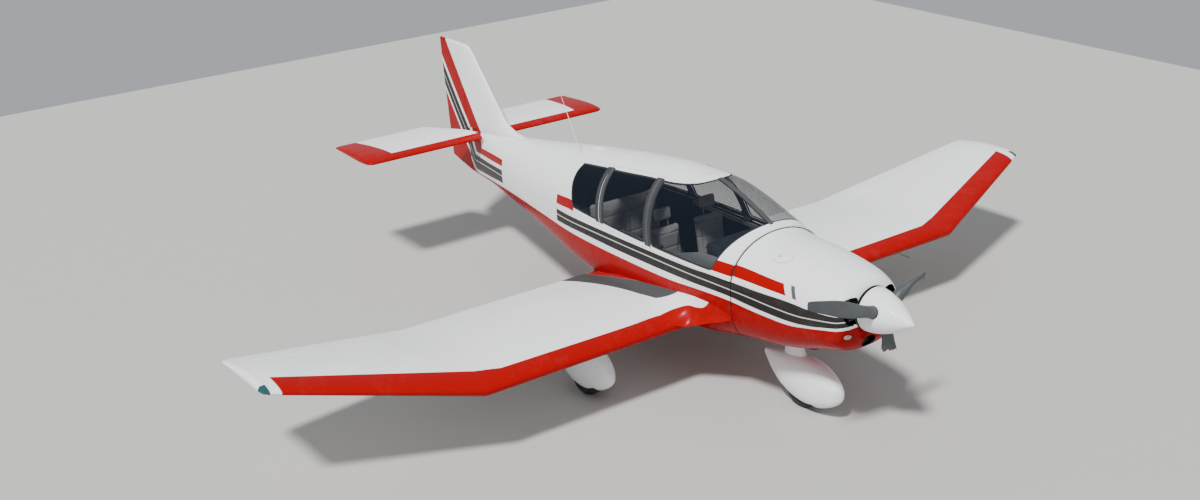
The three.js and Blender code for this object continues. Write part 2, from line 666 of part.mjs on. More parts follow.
function buildWheel(name, wheel) {
  const rimR = 82;
  const half = wheel.width / 2;
  const lathe = (points) => {
    const outline = points.map(([r, y]) => new THREE.Vector2(r, y));
    return solidOf(new THREE.LatheGeometry(outline, 22).translate(wheel.x, wheel.y, wheel.r));
  };
  const section = [];
  const round = 6;
  for (let i = 0; i <= round; i += 1) {
    const angle = -Math.PI / 2 - 0.25 + (i / round) * (Math.PI + 0.5);
    const mid = (wheel.r + rimR) / 2 + 6;
    section.push([mid + (wheel.r - mid) * power(Math.cos(angle), 2.6), half * power(Math.sin(angle), 2.6)]);
  }
  const bead = half * 0.62;
  const flange = rimR + 12 + GAP;
  const inner = rimR + GAP;
  const tyre = [[inner, -bead], [flange, -bead], [flange, -bead - 7], ...section, [flange, bead + 7],
    [flange, bead], [inner, bead], [inner, -bead]];
  add(`${name}_tyre`, lathe(tyre), TYRE);
  const seat = bead + GAP;
  const lip = rimR + 12;
  const rim = [[AXLE_R + GAP, -60], [46, -60], [lip, -seat - 5], [lip, -seat], [rimR, -seat], [rimR, seat],
    [lip, seat], [lip, seat + 5], [46, 60], [AXLE_R + GAP, 60], [AXLE_R + GAP, -60]];
  add(`${name}_rim`, lathe(rim), METAL);
}

function buildMainGear() {
  const wheel = MAIN_WHEEL;
  const spat = { front: 1322, back: 420, half: 140, top: 480, bottom: 62, y: wheel.y };
  const tube = rod([wheel.x, wheel.y, CROWN_Z], [wheel.x, wheel.y, 700], 34);
  const leg = cut(join(tube, forkAndAxle(wheel)), wingBlank().translate([0, 0, -GAP]));
  const hole = rod([wheel.x, wheel.y, CROWN_Z], [wheel.x, wheel.y, 600], 34 + GAP);
  const cap = box(wheel.x - 60, wheel.x + 60, wheel.y - 50, wheel.y + 50, 468, 490);
  const shell = cut(join(spatShell(spat, wheel), cap), hole);
  for (const [word, side] of SIDES) {
    const turn = (solid) => (side > 0 ? solid : mirrored(solid));
    add(`main_leg_${word}`, turn(leg), METAL);
    add(`main_spat_${word}`, turn(shell), WHITE);
    buildWheel(`main_${word}`, { ...wheel, y: side * wheel.y });
  }
}

function steerPoint(z) {
  return [STEER_X - (z - NOSE_WHEEL.r) * Math.tan(RAKE), 0, z];
}

function buildNoseGear() {
  const wheel = NOSE_WHEEL;
  const spat = { front: 2822, back: 1850, half: 132, top: 474, bottom: 50, y: 0 };
  const tube = rod(steerPoint(CROWN_Z), steerPoint(760), 30, 30, TUBE_SIDES);
  const fork = join(tube, forkAndAxle(wheel), box(2235, 2370, -40, 40, CROWN_Z, CROWN_Z + 18));
  add('nose_fork', fork, METAL);
  const fairing = loft([[400, 128], [470, 112], [600, 104]].map(([z, half]) => {
    const [x] = steerPoint(z);
    return Array.from({ length: 24 }, (_, i) => {
      const angle = (i / 24) * 2 * Math.PI;
      return [x + half * Math.cos(angle), 46 * Math.sin(angle), z];
    });
  }));
  const inside = spatSkin(spat, SKIN);
  const spatBore = rod(steerPoint(380), steerPoint(640), 30 + GAP, 30 + GAP, TUBE_SIDES);
  add('nose_spat', cut(join(spatShell(spat, wheel), cut(fairing, inside)), spatBore), WHITE);
  buildWheel('nose', wheel);
  const back = TUB_FRONT + FIREWALL + 2 * GAP;
  const bore = rod(steerPoint(680), steerPoint(765), 30 + GAP, 30 + GAP, TUBE_SIDES);
  const sleeve = cut(rod(steerPoint(690), steerPoint(880), 44), bore);
  const strut = cut(box(back, 2200, -30, 30, 780, 860), rod(steerPoint(690), steerPoint(880), 40));
  add('nose_leg_mount', join(sleeve, strut), METAL);
}

// Flap and aileron of the port wing; the starboard pair mirrors them
const FLAP = {
  a: [205, 650, 644], b: [205, 2470, 644], radiusA: 44, radiusB: 44,
  places: [0.08, 0.5, 0.92], sweep: [-60, 0], endShare: 0.004,
};
const AILERON = {
  a: [232, 2705, 669], b: [352, 4150, 962], radiusA: 51, radiusB: 28,
  places: [0.1, 0.9], sweep: [-13, 13], endShare: 0.005,
};

// Everything behind a hinge line, out to a growth at each end, with ends square to the line
function behindPrism(a, b, grow) {
  const depth = 900;
  const height = 500;
  const { ahead, unit, third, length } = hingeAxes(a, b);
  const room = new THREE.BoxGeometry(depth, length + 2 * grow, height).translate(-depth / 2, length / 2, 0);
  return solidOf(room.applyMatrix4(new THREE.Matrix4().makeBasis(ahead, unit, third).setPosition(...a)));
}

function buildWings() {
  const blank = wingBlank();
  const body = bodySkin(-400, 2100, -GAP);
  const flap = { ...FLAP };
  flap.behind = behindPrism(flap.a, flap.b, 0);
  flap.behindWide = behindPrism(flap.a, flap.b, CLEAR);
  const lowerLip = box(flap.a[0] - 5, flap.a[0] + flap.radiusA + CLEAR,
    flap.a[1] - CLEAR, flap.b[1] + CLEAR, 400, flap.a[2]);
  const first = surfaceOf(blank, flap);
  const aileron = { ...AILERON };
  aileron.behind = behindPrism(aileron.a, aileron.b, 0);
  aileron.behindWide = behindPrism(aileron.a, aileron.b, CLEAR);
  const second = surfaceOf(blank, aileron);
  const lampCut = box(920, 1060, 4300, 4400, 940, 1060);
  const panel = cut(blank, ...first.away, lowerLip, ...second.away, body, lampCut);
  const fixed = join(panel, ...first.arms, ...second.arms);
  const lamp = blank.intersect(box(920 + GAP, 1060, 4300 + GAP, 4400, 940, 1060));
  for (const [word, side] of SIDES) {
    const turn = (solid) => (side > 0 ? solid : mirrored(solid));
    add(`wing_${word}`, turn(fixed), WHITE);
    add(`flap_${word}`, turn(first.moving), WHITE);
    add(`aileron_${word}`, turn(second.moving), WHITE);
    add(`nav_lamp_${word}`, turn(lamp), LAMP);
  }
}

const RUDDER = {
  a: [-2990, 0, 800], b: [-3118, 0, 2236], radiusA: 44, radiusB: 34,
  places: [0.12, 0.5, 0.95], sweep: [-25, 25], endShare: 0.01,
};

// The rudder's foot rises towards its rear corner
function rudderFoot() {
  return prism([[-2700, 772], [-3700, 940], [-3700, 600], [-2700, 600]], -200, 200, 'y');
}

function splitRudder() {
  const { a, b } = RUDDER;
  const behind = prism([[a[0], a[2] - 40], [b[0], b[2] + 40], [-3700, 2400], [-3700, 700]], -200, 200, 'y');
  const split = surfaceOf(verticalBlank(), { ...RUDDER, behind, behindWide: behind });
  return { ...split, moving: cut(split.moving, rudderFoot()) };
}

function buildFin(rudder) {
  const body = bodySkin(TAIL_END, -500, -GAP);
  const below = box(-3200, -1500, -300, 300, 600, 1334);
  const [, middleArm, topArm] = rudder.arms;
  add('fin', join(cut(verticalBlank(), ...rudder.away, body, below), middleArm, topArm), WHITE);
  add('rudder', rudder.moving, WHITE);
}

function buildTailplane() {
  const inboard = prism([[-2500, 118], [-2760, 118], [-2900, 170], [-3100, 280], [-3420, 400], [-3420, 0],
    [-2500, 0]], 1100, 1500, 'z');
  const half = cut(tailplaneBlank(), inboard);
  const pivot = (y) => [TAILPLANE_PIVOT_X, y, TAILPLANE_Z];
  const tube = rod(pivot(-160), pivot(160), TAILPLANE_TUBE_R, TAILPLANE_TUBE_R, TUBE_SIDES);
  add('tailplane', join(half, mirrored(half), tube), WHITE);
}

function leaning(solid, x, z, degrees) {
  return solid.translate([-x, 0, -z]).rotate([0, degrees, 0]).translate([x, 0, z]);
}

function cabinRoom() {
  const low = bodySkin(BULKHEAD + GAP + TUB_WALL + GAP, TUB_FRONT, TUB_WALL + GAP);
  return join(low, box(BULKHEAD + TUB_WALL + 2 * GAP, 1700, -440, 440, 1150, 1700));
}

function buildSeats() {
  const floor = 500;
  const room = cabinRoom();
  for (const [word, y] of [['left', 262], ['right', -262]]) {
    const base = box(850, 1260, y - 170, y + 170, floor + GAP, 700);
    const seat = box(840, 1300, y - 215, y + 215, 700, 800);
    const back = leaning(box(780, 880, y - 205, y + 205, 760, 1330), 860, 790, -10);
    const head = leaning(box(795, 875, y - 110, y + 110, 1320, 1480), 860, 790, -10);
    add(`front_seat_${word}`, join(base, seat, back, head).intersect(room), SEAT);
  }
  const benchBack = leaning(box(-215, -105, -440, 440, 740, 1290), -120, 760, -8);
  const bench = join(box(-120, 300, -440, 440, floor + 60, 760), benchBack,
    box(-200, 240, -300, 300, floor - 8, floor + 70));
  add('rear_bench', bench.intersect(room), SEAT);
}

function buildPanel() {
  const outline = [[1640, 1010], [1700, 990], [1700, 900], [1790, 900], [1790, 1190], [1760, 1400],
    [1610, 1420], [1600, 1390]];
  const slab = prism(outline, -470, 470, 'y');
  const low = bodySkin(1500, 1979, TUB_WALL + GAP).intersect(box(1400, 2000, -700, 700, 500, SILL_Z - 20));
  const room = join(canopySkin(1500, 1979, CANOPY_WALL + CLEAR + 30), low);
  const pedestal = box(1560, 1700, -70, 70, 560, 1000);
  const brace = box(1780, TUB_FRONT - GAP, -200, 200, 1000, 1100);
  add('instrument_panel', join(slab.intersect(room), pedestal.intersect(cabinRoom()), brace), DARK);
  const sticks = [262, -262].flatMap((y) => [
    rod([1330, y, 600], [1390, y, 860], 11, 11, 12), rod([1385, y, 840], [1392, y, 950], 17, 15, 12)]);
  const bar = rod([1330, -262, 600], [1330, 262, 600], 14, 14, 12);
  const feet = box(1312, 1348, -60, 60, 480, 600).intersect(cabinRoom());
  add('control_sticks', join(...sticks, bar, feet), DARK);
}

function buildSmallParts() {
  const antenna = join(rod([-640, -183, 1570], [-652, -183, 1640], 16, 7, 12),
    rod([-650, -183, 1630], [-940, -183, 2130], 4, 3, 8));
  add('antenna', cut(antenna, bodySkin(-1300, -560, -GAP)), WHITE);
  const pitotBlade = box(1180, 1230, 2296, 2304, 480, 700);
  const pitot = join(pitotBlade, rod([1180, 2300, 492], [1420, 2300, 492], 8, 7, 12));
  add('pitot_tube', cut(pitot, wingBlank().translate([0, 0, -GAP])), METAL);
  const outletPipe = rod([2330, 130, 500], [2330, 130, 600], 44, 40);
  const pipe = join(rod([2330, 130, 560], [2330, 130, 1000 - GAP], 30), outletPipe);
  add('exhaust', pipe, METAL);
}

const rudderParts = splitRudder();
buildRearFuselage(rudderParts);
buildTub();
buildRearCabin();
buildCanopy();
buildCowl();
buildEngine();
buildPropeller();
buildMainGear();
buildNoseGear();
buildWings();
buildFin(rudderParts);
buildTailplane();
buildSeats();
buildPanel();
buildSmallParts();

export default aircraft;
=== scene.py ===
import math

import bmesh
import bpy
from mathutils import Matrix, Vector, noise


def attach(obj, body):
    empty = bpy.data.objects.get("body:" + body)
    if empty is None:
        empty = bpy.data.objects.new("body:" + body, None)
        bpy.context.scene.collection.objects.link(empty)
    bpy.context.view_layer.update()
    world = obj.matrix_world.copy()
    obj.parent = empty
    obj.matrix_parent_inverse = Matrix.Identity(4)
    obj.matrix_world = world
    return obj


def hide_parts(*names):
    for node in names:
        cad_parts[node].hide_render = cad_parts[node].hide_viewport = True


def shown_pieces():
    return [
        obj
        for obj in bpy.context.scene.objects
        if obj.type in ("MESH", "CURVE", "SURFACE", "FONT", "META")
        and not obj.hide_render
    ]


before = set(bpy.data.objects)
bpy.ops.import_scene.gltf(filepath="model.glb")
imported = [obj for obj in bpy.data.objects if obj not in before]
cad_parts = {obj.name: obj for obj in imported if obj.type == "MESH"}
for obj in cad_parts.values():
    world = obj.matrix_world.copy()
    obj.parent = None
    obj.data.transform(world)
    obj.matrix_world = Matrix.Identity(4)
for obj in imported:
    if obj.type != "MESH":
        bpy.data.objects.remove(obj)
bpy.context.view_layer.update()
CAD_NODES = {piece.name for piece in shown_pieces()}

# Places from the part's own source, in metres
TAIL_END = -3.06
BULKHEAD = -0.2997
TUB_FRONT = 1.98
TUB_END = TUB_FRONT - 0.001
COWL_BACK = 1.9906
SILL = 1.196
CANOPY_FOOT = SILL + 0.003
WINDOW_FOOT = 1.233
SEAM = 0.003
BOW_LEAN = 0.37
BOW_FOOT = 1.222
CANOPY_WIDEST, CANOPY_LOW = 1.13, 1.046
# Where cuts end above the cabin, and how far they reach to both sides
CUT_TOP = 1.9
ACROSS = (-0.9, 0.9, "y")
# Share of the skin's own depth under which a face belongs to its inside
INNER_SIDE = 0.985
BODY_SIDES = 112
THRUST_Z = 1.182
EXHAUST = (2.33, 0.13)
# x, y, radius, width
WHEELS = {"main_left": (0.95, 1.3, 0.19, 0.150), "main_right": (0.95, -1.3, 0.19, 0.150),
          "nose": (2.35, 0.0, 0.19, 0.130)}

# x, top, bottom, half width, height of the widest place, top power, bottom power
BODY = [
    (-3.060, 1.331, 0.794, 0.037, 1.080, 2.0, 2.2), (-2.400, 1.375, 0.770, 0.165, 1.080, 2.0, 2.6),
    (-1.600, 1.478, 0.700, 0.318, 1.095, 2.1, 3.0), (-1.000, 1.582, 0.642, 0.430, 1.110, 2.1, 3.4),
    (-0.350, 1.682, 0.565, 0.535, 1.125, 2.05, 3.8), (0.250, 1.760, 0.512, 0.580, 1.130, 2.05, 4.0),
    (0.900, 1.806, 0.492, 0.596, 1.130, 2.05, 4.0), (1.500, 1.730, 0.515, 0.584, 1.130, 2.05, 3.8),
    (1.980, 1.530, 0.590, 0.526, 1.130, 2.1, 3.4), (2.470, 1.505, 0.655, 0.478, 1.130, 2.15, 3.0),
    (2.870, 1.462, 0.770, 0.420, 1.130, 2.2, 2.8), (3.060, 1.408, 0.822, 0.352, 1.130, 2.2, 2.8),
    (3.110, 1.352, 0.862, 0.300, 1.130, 2.2, 2.8),
]
# x, top, half width, top power
CANOPY = [
    (0.050, 1.736, 0.565, 2.05), (0.550, 1.796, 0.591, 2.05), (1.050, 1.812, 0.596, 2.05),
    (1.250, 1.803, 0.593, 2.05), (1.500, 1.732, 0.584, 2.08), (1.720, 1.647, 0.570, 2.1),
    (1.920, 1.562, 0.553, 2.12), (1.990, 1.546, 0.545, 2.12),
]
# y at the nose, y at the tail, nose x, nose z, tail x, tail z, thickness
WING = [
    (0.430, 0.430, 1.562, 0.693, -0.130, 0.604, 0.130), (2.710, 2.540, 1.562, 0.693, -0.130, 0.604, 0.130),
    (4.290, 4.290, 1.025, 0.994, 0.181, 0.975, 0.115), (4.345, 4.345, 1.000, 1.004, 0.200, 0.985, 0.085),
    (4.360, 4.360, 0.950, 1.003, 0.260, 0.986, 0.040),
]
WING_CAMBER = 0.02
TAILPLANE_Z = 1.300
# y, nose x, tail x, thickness
TAILPLANE = [
    (0.060, -2.590, -3.390, 0.10), (1.440, -2.590, -3.390, 0.10), (1.485, -2.615, -3.378, 0.08),
    (1.500, -2.660, -3.350, 0.04),
]
# z, nose x, tail x, thickness
VERTICAL_TAIL = [
    (0.790, -2.300, -3.395, 0.080), (0.860, -2.300, -3.430, 0.080), (1.300, -1.900, -3.480, 0.072),
    (1.432, -1.930, -3.492, 0.074), (1.446, -2.060, -3.494, 0.077), (1.490, -2.206, -3.499, 0.080),
    (1.540, -2.288, -3.505, 0.080), (1.600, -2.350, -3.512, 0.080), (2.180, -2.890, -3.562, 0.085),
    (2.225, -2.945, -3.566, 0.080), (2.240, -2.995, -3.552, 0.045),
]
RUDDER_LINE = ((-2.990, 0.0, 0.800), (-3.118, 0.0, 2.236))


# Camera at the photograph's own viewing angle
def add_camera():
    eye, target, roll = Vector((10.906, -8.208, 6.177)), Vector((-0.172, -0.329, 0.780)), math.radians(-2.02)
    data = bpy.data.cameras.new("camera")
    data.sensor_fit, data.sensor_width, data.lens = "HORIZONTAL", 36.0, 45.33
    data.clip_end = 200.0
    camera = bpy.data.objects.new("camera", data)
    bpy.context.scene.collection.objects.link(camera)
    look = (target - eye).to_track_quat("-Z", "Y").to_matrix().to_4x4()
    camera.matrix_world = Matrix.Translation(eye) @ look @ Matrix.Rotation(roll, 4, "Z")
    bpy.context.scene.camera = camera


add_camera()


# Modelling steps, each on the piece that is active
def alone(piece):
    bpy.ops.object.select_all(action="DESELECT")
    piece.select_set(True)
    bpy.context.view_layer.objects.active = piece
    return piece


def in_edit_mode(piece, *steps):
    alone(piece)
    bpy.ops.object.mode_set(mode="EDIT")
    bpy.ops.mesh.select_all(action="SELECT")
    for step in steps:
        step()
    bpy.ops.object.mode_set(mode="OBJECT")
    return piece


def merge_doubles():
    bpy.ops.mesh.remove_doubles(threshold=1e-5)


def face_outwards():
    bpy.ops.mesh.select_all(action="SELECT")
    bpy.ops.mesh.normals_make_consistent(inside=False)


def close_open_ends():
    bpy.ops.mesh.select_all(action="SELECT")
    bpy.ops.mesh.fill_holes(sides=0)


def primitive(add, **settings):
    bpy.ops.object.select_all(action="DESELECT")
    add(**settings)
    return bpy.context.object


def skin(columns, rows, place, ends=True):
    """A grid wrapped into a tube: place(along, around) gives each corner, both from 0 to 1"""
    piece = primitive(bpy.ops.mesh.primitive_grid_add, x_subdivisions=columns, y_subdivisions=rows, size=2)
    for corner in piece.data.vertices:
        corner.co = place(round((corner.co.x + 1) / 2, 6), round((corner.co.y + 1) / 2, 6))
    steps = [merge_doubles] + ([close_open_ends] if ends else []) + [face_outwards]
    return in_edit_mode(piece, *steps)


def prism(outline, low, high, axis):
    """An outline of (u, v) corners, extruded between two places on the axis"""
    piece = primitive(bpy.ops.mesh.primitive_circle_add, vertices=len(outline), fill_type="NGON")
    turn = {"x": lambda u, v, w: (w, u, v),
            "y": lambda u, v, w: (u, w, v),
            "z": lambda u, v, w: (u, v, w)}[axis]
    for corner, (u, v) in zip(piece.data.vertices, outline):
        corner.co = turn(u, v, low)
    depth = turn(0, 0, high - low)

    def pull():
        bpy.ops.mesh.extrude_region_move(TRANSFORM_OT_translate={"value": depth})

    return in_edit_mode(piece, pull, face_outwards)


def block(low, high):
    piece = primitive(bpy.ops.mesh.primitive_cube_add, size=1)
    low, high = Vector(low), Vector(high)
    for corner in piece.data.vertices:
        corner.co = [low[i] + (corner.co[i] + 0.5) * (high[i] - low[i]) for i in range(3)]
    return piece


def rod(a, b, radius_a, radius_b=None, sides=32):
    start, end = Vector(a), Vector(b)
    radius_b = radius_a if radius_b is None else radius_b
    piece = primitive(bpy.ops.mesh.primitive_cone_add, vertices=sides, radius1=radius_a, radius2=radius_b,
                      depth=(end - start).length)
    turn = (end - start).to_track_quat("Z", "Y").to_matrix().to_4x4()
    piece.data.transform(Matrix.Translation((start + end) / 2) @ turn)
    return piece


def drop(*pieces):
    for piece in pieces:
        bpy.data.objects.remove(piece, do_unlink=True)


def apply_modifier(piece, kind, **settings):
    alone(piece)
    modifier = piece.modifiers.new(kind.lower(), kind)
    for key, value in settings.items():
        setattr(modifier, key, value)
    bpy.ops.object.modifier_apply(modifier=modifier.name)
    return piece


def combine(piece, tool, operation="DIFFERENCE"):
    apply_modifier(piece, "BOOLEAN", object=tool, operation=operation, solver="EXACT")
    drop(tool)
    return piece


def wall(piece, thickness):
    return apply_modifier(piece, "SOLIDIFY", thickness=thickness, offset=-1.0, use_even_offset=True)


def soften(piece, width, segments=2):
    return apply_modifier(piece, "BEVEL", width=width, segments=segments, limit_method="ANGLE",
                          angle_limit=math.radians(35), harden_normals=False)


def copy_of(piece):
    twin = piece.copy()
    twin.data = piece.data.copy()
    bpy.context.scene.collection.objects.link(twin)
    return twin


def mirrored(piece):
    twin = copy_of(piece)
    twin.data.transform(Matrix.Diagonal((1, -1, 1, 1)))
    twin.data.flip_normals()
    return twin


def turned_copy(piece, place, way):
    """A copy of a piece that was modelled upright at the origin, set down with its top along way"""
    twin = copy_of(piece)
    twin.data.transform(Matrix.Translation(place) @ Vector(way).to_track_quat("Z", "Y").to_matrix().to_4x4())
    return twin


def joined(pieces, drop_first=False):
    if drop_first:
        drop(pieces[0])
        pieces = pieces[1:]
    bpy.ops.object.select_all(action="DESELECT")
    for piece in pieces:
        piece.select_set(True)
    bpy.context.view_layer.objects.active = pieces[0]
    bpy.ops.object.join()
    return bpy.context.object


def finished(piece, name, body, slot, finish, nodes=(), crease=35):
    """Names a piece, gives it its finish, and hands it to the frame"""
    alone(piece)
    piece.name = piece.data.name = name
    bpy.ops.object.shade_smooth_by_angle(angle=math.radians(crease))
    if finish is not None:
        sides = [face.material_index for face in piece.data.polygons]
        piece.data.materials.clear()
        for each in finish if isinstance(finish, (list, tuple)) else [finish]:
            piece.data.materials.append(each)
        for face, side in zip(piece.data.polygons, sides):
            face.material_index = side
    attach(piece, body)
    if nodes:
        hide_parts(*nodes)
    return piece


# Values between the rows of a table
def row_at(table, place):
    last = len(table) - 2
    k = 0
    while k < last and place > table[k + 1][0]:
        k += 1

    def slope(i, column):
        low, high = table[max(i - 1, 0)], table[min(i + 1, len(table) - 1)]
        return (high[column] - low[column]) / (high[0] - low[0])

    width = table[k + 1][0] - table[k][0]
    t = min(max((place - table[k][0]) / width, 0.0), 1.0)
    values = [place]
    for column in range(1, len(table[0])):
        value, rise = table[k][column], table[k + 1][column] - table[k][column]
        bend = (slope(k, column) * (1 - t) - slope(k + 1, column) * t) * width - rise * (1 - 2 * t)
        values.append(value + rise * t + t * (1 - t) * bend)
    return values


def power(value, exponent):
    return math.copysign(abs(value) ** (2 / exponent), value)


def oval(x, half, top, wide, bottom, top_power, bottom_power, around):
    angle = around * 2 * math.pi
    up = math.sin(angle) >= 0
    exponent = top_power if up else bottom_power
    height = top - wide if up else wide - bottom
    return (x, half * power(math.cos(angle), exponent), wide + height * power(math.sin(angle), exponent))


def body_point(x, around, inset=0.0):
    _, top, bottom, half, wide, top_power, bottom_power = row_at(BODY, x)
    return oval(x, half - inset, top - inset, wide, bottom + inset, top_power, bottom_power, around)


def canopy_point(x, around, inset=0.0):
    _, top, half, top_power = row_at(CANOPY, x)
    return oval(x, half - inset, top - inset, CANOPY_WIDEST, CANOPY_LOW, top_power, 4.0, around)


# Shader sums written as plain expressions
class Amount:
    def __init__(self, finish, socket):
        self.finish = finish
        self.socket = socket

    def __add__(self, other):
        return self.finish.sum("ADD", self, other)

    def __sub__(self, other):
        return self.finish.sum("SUBTRACT", self, other)

    def __rsub__(self, other):
        return self.finish.sum("SUBTRACT", other, self)

    def __mul__(self, other):
        return self.finish.sum("MULTIPLY", self, other)

    def __or__(self, other):
        return self.finish.sum("MAXIMUM", self, other)

    def __and__(self, other):
        return self.finish.sum("MINIMUM", self, other)

    def __abs__(self):
        return self.finish.sum("ABSOLUTE", self)

    __radd__ = __add__

    def over(self, edge, soft=0.0012):
        """1 where the value is over the edge, 0 where it is under it, with a narrow slope between them"""
        return self.finish.clamped((self - edge) * (1 / soft) + 0.5)

    def within(self, low, high):
        return self.over(low) & (1 - self.over(high))


class Finish:
    def __init__(self, name):
        self.material = bpy.data.materials.new(name)
        self.material.use_nodes = True
        self.tree = self.material.node_tree
        self.shader = self.tree.nodes["Principled BSDF"]
        self.place = self.node("ShaderNodeTexCoord").outputs["Object"]

    def node(self, kind, settings=None, **values):
        node = self.tree.nodes.new(kind)
        for key, value in (settings or {}).items():
            setattr(node, key, value)
        for key, value in values.items():
            self.put(node.inputs[key.replace("_", " ")], value)
        return node

    def put(self, socket, value):
        if isinstance(value, Amount):
            value = value.socket
        if isinstance(value, bpy.types.NodeSocket):
            self.tree.links.new(value, socket)
        else:
            socket.default_value = value

    def sum(self, operation, *parts):
        node = self.node("ShaderNodeMath", {"operation": operation})
        for socket, part in zip(node.inputs, parts):
            self.put(socket, part)
        return Amount(self, node.outputs[0])

    def clamped(self, amount):
        node = self.node("ShaderNodeClamp", None, Value=amount)
        return Amount(self, node.outputs[0])

    def axes(self):
        split = self.node("ShaderNodeSeparateXYZ", None, Vector=self.place)
        return [Amount(self, output) for output in split.outputs]

    def noise(self, scale, detail, rough, stretch=None):
        place = self.place
        if stretch:
            place = self.node("ShaderNodeMapping", None, Vector=place, Scale=stretch).outputs[0]
        node = self.node("ShaderNodeTexNoise", None, Vector=place, Scale=scale, Detail=detail,
                         Roughness=rough)
        return Amount(self, node.outputs["Fac"])

    def curve(self, amount, points, low, high):
        """A height read off a smooth line through (x, z) points"""
        first, last = points[0][0], points[-1][0]
        node = self.node("ShaderNodeFloatCurve", None, Value=(amount - first) * (1 / (last - first)))
        line = node.mapping.curves[0]
        spots = [((x - first) / (last - first), (z - low) / (high - low)) for x, z in points]
        line.points[0].location, line.points[-1].location = spots[0], spots[-1]
        for spot in spots[1:-1]:
            line.points.new(*spot)
        node.mapping.update()
        return Amount(self, node.outputs[0]) * (high - low) + low

    def colour(self, factor, below, above):
        """below where the factor is 0, above where it is 1"""
        node = self.node("ShaderNodeMix", {"data_type": "RGBA"})
        self.put(node.inputs[0], factor)
        for socket, value in ((node.inputs[6], below), (node.inputs[7], above)):
            self.put(socket, value if not isinstance(value, tuple) else (*value, 1.0)[:4])
        return node.outputs[2]

    def bump(self, height, strength, distance):
        node = self.node("ShaderNodeBump", None, Strength=strength, Distance=distance, Height=height)
        self.put(self.shader.inputs["Normal"], node.outputs[0])

    def set(self, **values):
        for key, value in values.items():
            if isinstance(value, tuple):
                value = (*value, 1.0)[:4]
            self.put(self.shader.inputs[key.replace("_", " ")], value)
        return self.material


WHITE = (0.90, 0.91, 0.92)
RED = (0.34, 0.0, 0.002)
BAND = (0.026, 0.024, 0.022)
LINE = (0.60, 0.60, 0.60)
SOOT = (0.30, 0.27, 0.22)

# x and distance from the middle of the fine seam inside the edge of the roof
ROOF_SEAM = [(-0.48, 0.192), (-0.44, 0.212), (-0.03, 0.247), (0.35, 0.257), (0.73, 0.252), (0.92, 0.236),
             (1.00, 0.210)]
# Distance from the middle and x of the inboard rear edge of the wing's stripe
STRIPE_ROOT = [(0.50, 1.80), (0.55, 1.74), (0.575, 1.69), (0.60, 1.60), (0.63, 1.533), (0.67, 1.48),
               (0.735, 1.433), (0.84, 1.410), (1.15, 1.412), (1.60, 1.408)]
# Stripe heights along the fuselage, x then z
RED_TOP = [(-3.20, 0.790), (-2.44, 0.862), (-1.92, 0.906), (-1.155, 0.944), (-0.30, 0.962), (0.56, 0.981),
           (1.26, 0.996), (1.60, 1.016), (1.96, 1.014), (2.20, 1.000), (2.40, 0.994), (2.60, 0.992),
           (2.80, 1.020), (3.00, 1.051), (3.14, 1.060)]
BAND_FOOT = [(-3.20, 0.850), (-2.80, 0.877), (-2.44, 0.908), (-2.07, 0.947), (-0.65, 0.994), (-0.09, 1.026),
             (0.49, 1.040), (1.00, 1.052), (1.49, 1.060), (1.96, 1.054), (2.20, 1.039), (2.40, 1.032),
             (2.60, 1.028), (2.80, 1.043), (3.00, 1.074), (3.14, 1.088)]
BAND_MIDDLE = [(-3.20, 0.955), (-2.75, 0.990), (-2.04, 1.030), (-0.63, 1.062), (0.11, 1.102), (0.68, 1.121),
               (1.18, 1.130), (1.65, 1.128), (1.95, 1.118), (2.20, 1.112), (2.50, 1.102), (2.70, 1.102),
               (2.90, 1.120), (3.14, 1.134)]
BAND_TOP = [(-3.20, 1.040), (-2.75, 1.060), (-2.40, 1.072), (-2.04, 1.096), (-0.63, 1.118), (-0.09, 1.145),
            (0.50, 1.170), (1.02, 1.183), (1.49, 1.189), (1.95, 1.191), (2.20, 1.190), (2.65, 1.197),
            (2.80, 1.188), (3.14, 1.178)]
UPPER_FOOT = [(-3.20, 1.080), (-2.70, 1.103), (-2.37, 1.120), (-2.04, 1.140), (-0.63, 1.174), (-0.35, 1.196),
              (1.78, 1.240), (2.60, 1.239), (3.14, 1.239)]
UPPER_TOP = [(-3.20, 1.150), (-2.73, 1.170), (-2.43, 1.190), (-2.04, 1.210), (-0.65, 1.265), (-0.37, 1.290),
             (1.78, 1.334), (2.52, 1.320), (3.14, 1.310)]


def paint_over(finish, base, streaks=1.0, matt=0.0):
    """Gloss paint in the given colour, with faint dirt, and a soft unevenness in its gloss"""
    grime = finish.noise(2.2, 5.0, 0.62) * finish.noise(11.0, 3.0, 0.6)
    worn = finish.clamped((grime - 0.26) * (2.2 * streaks))
    tinted = finish.colour(worn * 0.16, base, SOOT)
    finish.bump(finish.noise(9.0, 2.0, 0.5), 0.05, 0.004)
    return finish.set(Base_Color=tinted, Roughness=0.27 + worn * 0.25 + matt * 0.5,
                      Coat_Weight=0.045 - worn * 0.02 - matt * 0.025, Coat_Roughness=0.06,
                      Specular_IOR_Level=0.08)


